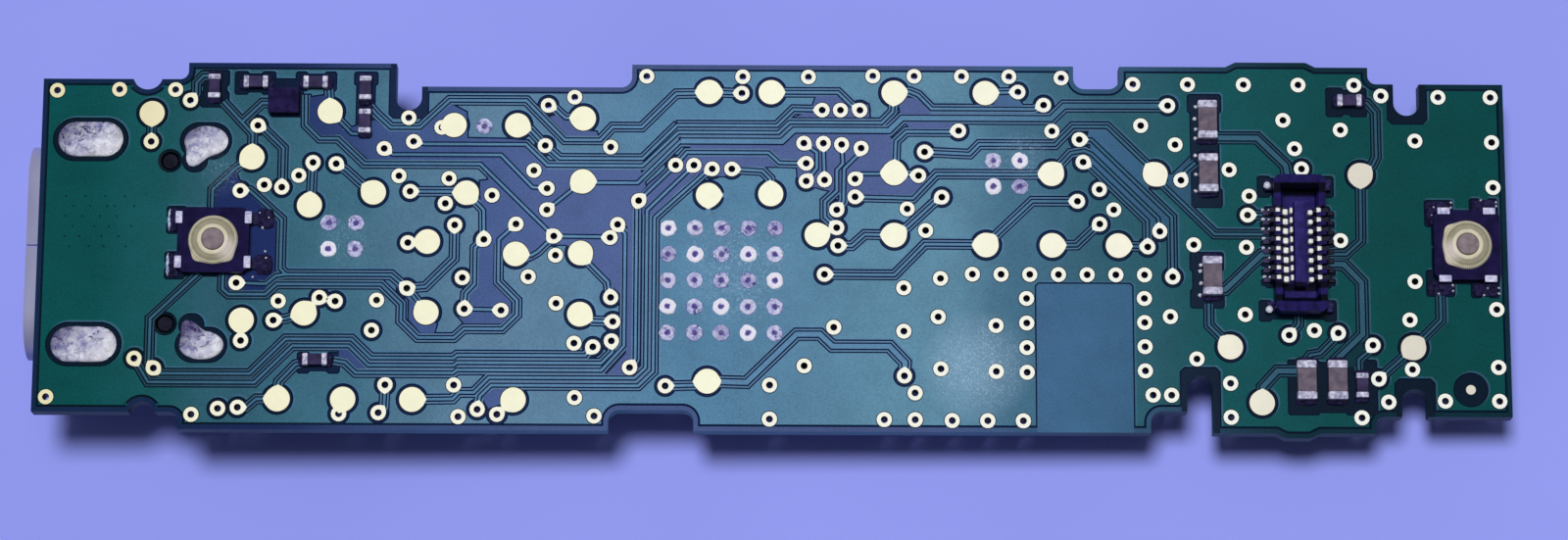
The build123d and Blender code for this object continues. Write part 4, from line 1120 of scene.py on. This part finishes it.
# Small lumps of solder set where the solder glints, made pale as painted highlights, and smaller ones listed
# as glints.
bead_master = turned([(0.08, 0.0), (0.075, 0.04), (0.05, 0.07), (0.0, 0.08)], 12)
bead_mesh = bmesh.new()
bead_rows = [1.62 - contact_pitch * row for row in range(contact_rows)]
glints = [(27.73, 1.94), (27.72, 1.72), (28.95, 2.04), (29.57, 1.96), (29.58, 1.8), (26.93, 1.41),
          (27.0, 1.74), (29.57, -1.12), (27.71, -1.52), (27.71, -1.75), (28.96, -1.92), (29.59, -1.62),
          (29.58, -1.85), (27.13, -1.87), (29.14, -1.63), (-20.57, 1.1), (-20.83, 0.68), (-20.65, -0.58),
          (-21.17, -1.37), (-20.7, -0.3), (-20.95, 1.3)]
glint_beads = [(20.02 + 0.02 * (row % 2), y) for row, y in enumerate(bead_rows) if row not in (5, 6)]
glint_beads += [(17.35, 5.95), (17.3, 5.45), (17.33, 5.0), (17.32, 4.62), (17.62, 4.6), (17.3, 3.9),
          (17.32, 3.1), (17.3, 2.4), (17.45, -0.7), (17.42, -0.95), (17.45, -1.45), (17.4, -1.95)]
glints += [(20.26, y - 0.02) for row, y in enumerate(bead_rows) if row != 3]
anchor_beads = [(20.19, 2.59), (20.18, -2.58)]
tab_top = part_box("display_anchors")[1].z
for number, place in enumerate(glint_beads + glints + anchor_beads):
    verts = place_copy(bead_mesh, bead_master, on_board(place), number, face)
    about = Matrix.Translation(-on_board(place).to_3d() - Vector((0, 0, face)))
    if place in anchor_beads:
        bmesh.ops.scale(bead_mesh, verts=verts, vec=(1.9, 1.9, 1.0), space=about)
        bmesh.ops.translate(bead_mesh, verts=verts, vec=(0, 0, tab_top - face - 0.02 * MM))
    elif number >= len(glint_beads):
        bmesh.ops.scale(bead_mesh, verts=verts, vec=(0.7, 0.7, 2.0), space=about)
    roughen(verts, 0.1, 0.02, 0.03, number * 2.1)
    for vert in verts:
        vert.co.z = max(vert.co.z, face)
bead_piece = add_piece("solder_beads", bead_mesh, "solder", bead_metal)
smooth(bead_piece)


# ---- Push switches -----------------------------------------------------------------------------
# Each is a moulded base with four tinned leads folded over its corners, a snap dome in its well, an
# amber film drawn over it, ribbed all round, and a small grey button in the film's hole.

def radial_ribs():
    """Ribs that run out from a middle, and the distance from that middle in millimetres."""
    group, given, out = new_group(
        "radial_ribs", {"Middle": (0.0, 0.0, 0.0), "Count": 60.0}, ["Ribs", "Distance"]
    )
    place = add(group, "TexCoord").outputs["Object"]
    offset = add(group, "VectorMath", operation="SUBTRACT", input_0=place, input_1=given.outputs["Middle"])
    apart = add(group, "SeparateXYZ", Vector=offset.outputs["Vector"])
    turn = worked(group, "ARCTAN2", apart.outputs["Y"], apart.outputs["X"])
    rise = worked(group, "SINE", worked(group, "MULTIPLY", turn, given.outputs["Count"]))
    group.links.new(ranged(group, rise, -1.0, 1.0), out.inputs["Ribs"])
    flat = add(group, "CombineXYZ", X=apart.outputs["X"], Y=apart.outputs["Y"])
    length = add(group, "VectorMath", operation="LENGTH", input_0=flat.outputs["Vector"])
    group.links.new(worked(group, "DIVIDE", length.outputs["Value"], MM), out.inputs["Distance"])
    return group


rib_group = radial_ribs()


def film_finish(name, middle_of, sheen_spot):
    """Amber film: olive between its cream middle and its pale outer edge, ribbed all round, with painted
    shade along the ribs and a painted sheen at one side.
    """
    made, tree, shader = start_material(name)
    ribs = add(tree, "Group", node_tree=rib_group, Middle=middle_of, Count=64.0).outputs
    colour = colours_at(tree, ribs["Distance"], [
        (0.5, srgb(226, 218, 188)), (0.6, srgb(218, 210, 186)), (0.66, srgb(154, 148, 124)),
        (0.76, srgb(164, 158, 136)), (0.78, srgb(150, 144, 122)), (0.88, srgb(148, 142, 118)),
        (0.92, srgb(206, 199, 172)), (0.955, srgb(206, 199, 172)), (0.98, srgb(150, 142, 120)),
        (1.0, srgb(214, 204, 176)),
    ])
    # Painted shade: the colour is darkened in the ribs' hollows.
    colour = mixed(tree, colour, worked(tree, "MULTIPLY_ADD", ribs["Ribs"], 0.26, 0.76), 1.0, "MULTIPLY")
    texture = add(tree, "Group", node_tree=grain_group, Size=0.04, Patch_Size=0.35).outputs
    clouds = worked(tree, "MULTIPLY_ADD", texture["Patches"], 0.2, 0.84)
    colour = mixed(tree, colour, clouds, 1.0, "MULTIPLY")
    # A painted sheen lightens the film at one side.
    near = ranged(tree, distance_from(tree, sheen_spot), 0.62 * MM, 0.2 * MM, 0.0, 0.6)
    colour = mixed(tree, colour, srgb(226, 212, 206), near)
    gloss = ranged(tree, texture["Grain"], 0.0, 1.0, 0.25, 0.4)
    set_surface(tree, shader, colour, gloss, ribs["Ribs"], 0.5, 0.012)
    return made


navy = grained("switch_moulding", srgb(10, 6, 40), srgb(25, 18, 66), (0.35, 0.5), 0.05, 0.5, bump=0.4,
               specular=0.2)
lead_metal = grained("switch_lead", srgb(150, 148, 196), srgb(226, 224, 244), (0.2, 0.4), 0.05, 0.22,
                     bump=0.5, metallic=0.15)
# Painted light: the leads are white on their top lip, and dark down their sides and feet as painted shade.
tint_by(lead_metal, "Z", face, 0.5, [(0.0, srgb(24, 18, 60)), (0.3, srgb(40, 34, 84)),
                                     (0.36, srgb(150, 142, 190)), (0.39, white), (0.45, white)])
dome_metal = grained("dome_metal", srgb(190, 188, 186), srgb(214, 212, 208), (0.2, 0.3), 0.03, 0.5,
                     metallic=0.8)
button_grey = grained("button_plastic", srgb(108, 94, 102), srgb(136, 122, 126), (0.25, 0.4), 0.05, 0.25,
                      bump=0.3)

for side, body, corners, pale in (("left", "left_button", (-48, -132), (0.62, -0.4)),
                                  ("right", "right_button", (-138, 138), (-0.72, -0.3))):
    dress(f"{side}_switch_base", navy, 0.05)
    dress(f"{side}_switch_leads", lead_metal, 0.03)

    # The snap dome, which on the real switch flattens to half its height under the pressed button.
    low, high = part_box(f"{side}_switch_dome")
    middle_of = Vector(((low.x + high.x) / 2, (low.y + high.y) / 2))
    crown, rim = high.z / MM, low.z / MM
    dome_profile = [
        (0.0, crown), (0.2, crown), (0.36, crown - 0.012), (0.5, crown - 0.035), (0.6, crown - 0.075),
        (0.72, crown - 0.145), (0.82, rim + 0.03), (0.85, rim), (0.78, rim), (0.68, rim + 0.04),
        (0.5, crown - 0.115), (0.3, crown - 0.085), (0.0, crown - 0.075),
    ]
    dome_mesh = bmesh.new()
    place_copy(dome_mesh, turned(dome_profile, 40), middle_of)
    dome_piece = add_piece(f"{side}_snap_dome", dome_mesh, "dome_steel", dome_metal)
    smooth(dome_piece)
    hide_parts(f"{side}_switch_dome")
    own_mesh(dome_piece)

    # The film, in two steps round the button, with a bulge at each lower corner.
    low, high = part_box(f"{side}_switch_cover")
    middle_of = Vector(((low.x + high.x) / 2, (low.y + high.y) / 2))
    film_top, film_foot = high.z / MM, low.z / MM
    film_profile = [
        (0.47, film_top - 0.04), (0.47, film_top - 0.005), (0.49, film_top), (0.6, film_top),
        (0.64, film_top - 0.02), (0.74, film_top - 0.03), (0.9, film_top - 0.065), (0.98, film_top - 0.11),
        (1.01, film_foot),
    ]
    film_mesh = bmesh.new()
    film_verts = place_copy(film_mesh, turned(film_profile, 72), middle_of)
    skirt, bulge_width, bulge_rise = 0.93, 14, 0.13
    for vert in film_verts:
        out = vert.co.xy - middle_of
        turn = math.degrees(math.atan2(out.y, out.x))
        bulge = sum(math.exp(-((turn - corner) / bulge_width) ** 2) for corner in corners)
        if out.length > skirt * MM:
            vert.co.xy = middle_of + out * (1 + bulge_rise * bulge)
    sheen_spot = (middle_of.x + pale[0] * MM, middle_of.y + pale[1] * MM, high.z)
    film = film_finish(f"{side}_film", (middle_of.x, middle_of.y, 0.0), sheen_spot)
    film_piece = add_piece(f"{side}_switch_film", film_mesh, "amber_film", film)
    smooth(film_piece)
    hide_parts(f"{side}_switch_cover")

    # The button, with the collar that the film holds down.
    low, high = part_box(f"{side}_switch_plunger")
    top, bottom = high.z / MM, low.z / MM
    collar_radius, collar = 0.66, 0.12
    button_profile = [
        (0.0, top - 0.004), (0.2, top - 0.004), (0.38, top - 0.003), (0.41, top), (0.43, top - 0.008),
        (0.44, top - 0.03), (0.44, bottom + collar), (collar_radius, bottom + collar),
        (collar_radius, bottom), (0.0, bottom),
    ]
    button_mesh = bmesh.new()
    place_copy(button_mesh, turned(button_profile, 40), middle_of)
    button_piece = add_piece(f"{side}_button_disc", button_mesh, "grey_plastic", button_grey, body=body)
    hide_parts(f"{side}_switch_plunger")


# ---- Chip parts on the test side ---------------------------------------------------------------
# Fired ceramic blocks with tinned caps at both ends, soldered to lands in fillets made near-black as
# painted shade, and one small square part of black resin.

big_ceramic = grained("capacitor_ceramic", srgb(80, 70, 88), srgb(112, 100, 112), (0.35, 0.5), 0.04, 0.3,
                      bump=0.3)
small_ceramic = grained("chip_body", srgb(30, 22, 56), srgb(60, 48, 88), (0.3, 0.5), 0.05, 0.5, bump=0.3)
cap_metal = grained("cap_metal", srgb(112, 108, 150), srgb(232, 230, 246), (0.2, 0.42), 0.05, 0.18, bump=0.8,
                    metallic=0.15)
sensor_resin = grained("sensor_resin", srgb(16, 10, 44), srgb(36, 28, 74), (0.4, 0.6), 0.05, 0.3, bump=0.5,
                       specular=0.2)
dress("large_capacitors", big_ceramic, 0.03)
dress("large_capacitor_ends", cap_metal, 0.06, 3)
dress("small_chips", small_ceramic, 0.03)
dress("small_chip_ends", cap_metal, 0.05, 3)
dress("sensor", sensor_resin, 0.04)

def away_from(bodies, centre):
    """The direction along X or Y that points away from the nearest of several bodies."""
    out = centre - min(bodies, key=lambda spot: (spot - centre).length)
    if abs(out.x) > abs(out.y):
        return Vector((math.copysign(1, out.x), 0))
    return Vector((0, math.copysign(1, out.y)))


# Near-black solder, painting the shade at the feet of the chips and switches.
shaded_solder = solder_finish("shaded_fillet", srgb(8, 3, 26), srgb(44, 38, 86), 0.14, (0.12, 0.3), 0.1,
                            srgb(4, 1, 18))
fillet_depth = 0.2
fillet_mesh = bmesh.new()
for body_node, end_node in (("large_capacitors", "large_capacitor_ends"), ("small_chips", "small_chip_ends")):
    bodies = island_centres(body_node)
    for number, (low, high) in enumerate(island_boxes(end_node)):
        centre, half = ((low + high) / 2).xy, ((high - low) / 2).xy
        out = away_from(bodies, centre)
        reach = Vector((abs(out.x) * fillet_depth + abs(out.y) * (half.x / MM + 0.05),
                        abs(out.y) * fillet_depth + abs(out.x) * (half.y / MM + 0.05)))
        foot_middle = centre + Vector((out.x * half.x, out.y * half.y))
        shaped_cap(fillet_mesh, foot_middle, solid_of(*reach), 0.13, number * 3.3, 20)
fillet_piece = add_piece("chip_fillets", fillet_mesh, "solder", shaded_solder)
smooth(fillet_piece)

# Solder over the switches' feet, near-black as painted shade, and a bright strip on the edge of each of the
# two lands at the left, a painted highlight.
spare_mesh = bmesh.new()
for number, (place, reach) in enumerate((
    ((-20.72, 1.08), (0.36, 0.42)), ((-20.76, -0.85), (0.36, 0.44)), ((-24.42, 1.02), (0.24, 0.5)),
    ((-24.42, -0.88), (0.26, 0.52)), ((27.2, 1.76), (0.52, 0.25)), ((26.86, 1.42), (0.17, 0.44)),
    ((29.06, 1.8), (0.52, 0.29)), ((27.2, -1.62), (0.52, 0.3)), ((29.05, -1.68), (0.52, 0.29)),
)):
    shaped_cap(spare_mesh, on_board(place), solid_of(*reach), 0.13, number * 5.1, 28)
spare_piece = add_piece("switch_land_solder", spare_mesh, "solder", shaded_solder)
smooth(spare_piece)
strip_mesh = bmesh.new()
shaped_cap(strip_mesh, on_board((-24.64, 1.03)), solid_of(0.07, 0.5), 0.13, 2.0, 28)
shaped_cap(strip_mesh, on_board((-24.66, -0.86)), solid_of(0.08, 0.52), 0.13, 4.0, 28)
glint_finish = grained("land_edge_glint", srgb(96, 112, 160), srgb(212, 222, 244), (0.3, 0.5), 0.05, 0.12,
                       metallic=0.15)
strip_piece = add_piece("land_edge_glints", strip_mesh, "solder", glint_finish)
smooth(strip_piece)


# ---- Underside ---------------------------------------------------------------------------------
# The far side carries the resin-cased chips in rings of solder lands, a glazed ceramic aerial, two
# seam-welded crystals, a ferrite coil, small ceramic parts and the moulded socket for the battery.

def package_finish(name, node):
    """Moulding resin with a fine satin grain and a smooth round dimple at its first corner."""
    low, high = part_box(node)
    made = grained(name, srgb(26, 26, 30), srgb(42, 42, 47), (0.5, 0.68), 0.04, 0.9, bump=0.5)
    tree, socket, plain = opened(made)
    corner = (low.x + 0.6 * MM, high.y - 0.6 * MM, low.z)
    dimple = ranged(tree, distance_from(tree, corner), 0.24 * MM, 0.2 * MM)
    tree.links.new(mixed(tree, plain, srgb(62, 62, 68), dimple), socket)
    return made


packages = ("processor", "secure_chip", "charger_chip")
for name in packages:
    dress(name, package_finish(f"{name}_resin", name), 0.05, 3)
under_tin = grained("under_tin", srgb(176, 174, 188), srgb(232, 231, 240), (0.22, 0.42), 0.05, 0.25, bump=0.5,
                    metallic=0.4)
under_ceramic = grained("under_ceramic", srgb(112, 94, 88), srgb(140, 120, 110), (0.4, 0.6), 0.04, 0.3,
                        bump=0.3)
dress("under_chips", under_ceramic, 0.03)
dress("under_chip_ends", under_tin, 0.05, 3)
glaze = grained("aerial_glaze", srgb(212, 215, 216), srgb(232, 234, 233), (0.15, 0.3), 0.05, 0.6, bump=0.2)
dress("chip_aerial", glaze, 0.06, 3)
lid_metal = grained("crystal_lid", srgb(178, 178, 182), srgb(214, 214, 216), (0.22, 0.36), 0.03, 1.0,
                    (1, 0.2, 1), bump=0.3, metallic=0.7)
dress("crystals", lid_metal, 0.06, 3)
ferrite = grained("pressed_ferrite", srgb(48, 46, 50), srgb(74, 71, 74), (0.6, 0.85), 0.06, 0.4, bump=0.8)
dress("inductor", ferrite, 0.12, 3)
socket_white = grained("socket_white", srgb(222, 218, 204), srgb(238, 235, 224), (0.38, 0.52), 0.04, 1.2,
                       bump=0.25)
dress("battery_socket", socket_white, 0.06)
dress("battery_contacts", under_tin, 0.03)

# Rows of solder lands round each resin-cased chip, one at each of its contacts.
land_mesh = bmesh.new()
land_pitch, land_size = 0.5, (0.26, 0.34, 0.08)
corner_room = 0.8  # what each row leaves free at a package's corners
for name in packages:
    low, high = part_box(name)
    chip_middle, half = ((low + high) / 2).xy, ((high - low) / 2).xy
    for axis in (0, 1):
        count = int((half[axis] / MM * 2 - corner_room) / land_pitch) + 1
        for number in range(count):
            for side in (1, -1):
                spot = Vector((0.0, 0.0))
                spot[axis] = (number - (count - 1) / 2) * land_pitch * MM
                spot[1 - axis] = side * (half[1 - axis] + 0.1 * MM)
                size = list(land_size) if axis == 0 else [land_size[1], land_size[0], land_size[2]]
                block = bmesh.ops.create_cube(land_mesh, size=1.0)["verts"]
                bmesh.ops.scale(land_mesh, verts=block, vec=[length * MM for length in size])
                centre = (*(chip_middle + spot), board_low.z - 0.02 * MM)
                bmesh.ops.translate(land_mesh, verts=block, vec=centre)
low_rims = [e for e in land_mesh.edges if all(v.co.z < board_low.z - 0.03 * MM for v in e.verts)]
bmesh.ops.bevel(land_mesh, geom=low_rims, offset=0.03 * MM, segments=1, affect="EDGES", profile=0.5,
                material=-1)
add_piece("package_lands", land_mesh, "solder", under_tin)

# Solder drawn up the ends of the small ceramic parts.
under_fillets = bmesh.new()
under_bodies = island_centres("under_chips")
for number, (low, high) in enumerate(island_boxes("under_chip_ends")):
    centre, half = ((low + high) / 2).xy, ((high - low) / 2).xy
    out = away_from(under_bodies, centre)
    across = half.y if out.x else half.x
    reach = (0.18, across / MM + 0.05) if out.x else (across / MM + 0.05, 0.18)
    shaped_cap(under_fillets, centre + Vector((out.x * half.x, out.y * half.y)), solid_of(*reach), 0.14,
               number * 2.9, 20)
for vert in under_fillets.verts:
    vert.co.z = board_low.z - (vert.co.z - face)
bmesh.ops.reverse_faces(under_fillets, faces=under_fillets.faces)
under_fillet_piece = add_piece("under_fillets", under_fillets, "solder", under_tin)
smooth(under_fillet_piece)


# ---- Floor, lamps and camera -----------------------------------------------------------------
# A pale lilac sheet under the board. The board leans on its USB socket and on the battery socket,
# so the sheet lies a degree and a half out of level with it.

rest_left, rest_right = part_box("usb_shell")[1].x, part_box("battery_socket")[1].x
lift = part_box("battery_socket")[0].z
tilt = math.atan2(lift, rest_right - rest_left)
sheet_size = 1200 * MM
sheet_mesh = bmesh.new()
bmesh.ops.create_grid(sheet_mesh, x_segments=8, y_segments=8, size=sheet_size / 2)
bmesh.ops.rotate(sheet_mesh, verts=sheet_mesh.verts, matrix=Matrix.Rotation(-tilt, 3, "Y"))
bmesh.ops.translate(sheet_mesh, verts=sheet_mesh.verts, vec=(0, 0, -rest_left * math.tan(tilt)))
sheet_data = bpy.data.meshes.new("floor")
sheet_mesh.to_mesh(sheet_data)
sheet_mesh.free()
floor = bpy.data.objects.new("floor", sheet_data)
bpy.context.scene.collection.objects.link(floor)
floor_finish = grained("floor_paper", srgb(139, 147, 227), srgb(146, 154, 235), (0.75, 0.9), 0.3, 25,
                       bump=0.1)
floor.data.materials.append(floor_finish)
floor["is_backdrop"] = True

world = bpy.data.worlds.new("studio")
bpy.context.scene.world = world
world.use_nodes = True
sky = world.node_tree.nodes["Background"]
sky.inputs["Color"].default_value = (0.74, 0.83, 1.0, 1.0)
sky.inputs["Strength"].default_value = 0.13

lamp_data = bpy.data.lights.new("soft_lamp", "SUN")
lamp_data.energy = 2.9
lamp_data.angle = math.radians(18)
lamp = bpy.data.objects.new("soft_lamp", lamp_data)
lamp.rotation_euler = (math.radians(-11), math.radians(-8), 0)
lamp.visible_glossy = False
bpy.context.scene.collection.objects.link(lamp)

softbox_data = bpy.data.lights.new("softbox", "AREA")
softbox_data.shape = "RECTANGLE"
softbox_data.size, softbox_data.size_y = 140 * MM, 320 * MM
softbox_data.energy = 0.19
softbox = bpy.data.objects.new("softbox", softbox_data)
softbox.location = (20 * MM, 130 * MM, 600 * MM)
softbox.rotation_euler = (math.radians(-12), math.radians(2), 0)
bpy.context.scene.collection.objects.link(softbox)

camera_data = bpy.data.cameras.new("camera")
camera_data.lens = 101.25
camera_data.sensor_width = 36
camera_data.clip_start = 0.01
camera = bpy.data.objects.new("camera", camera_data)
camera.location = (-0.046 * MM, -38.774 * MM, 179.762 * MM)
camera.rotation_mode = "ZYX"
camera.rotation_euler = (0.211854, -0.00444, 0.004157)
bpy.context.scene.collection.objects.link(camera)
bpy.context.scene.camera = camera
bpy.context.scene.view_settings.view_transform = "Standard"

corners = [[list(corner) for corner in box] for box in (cad_box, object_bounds())]
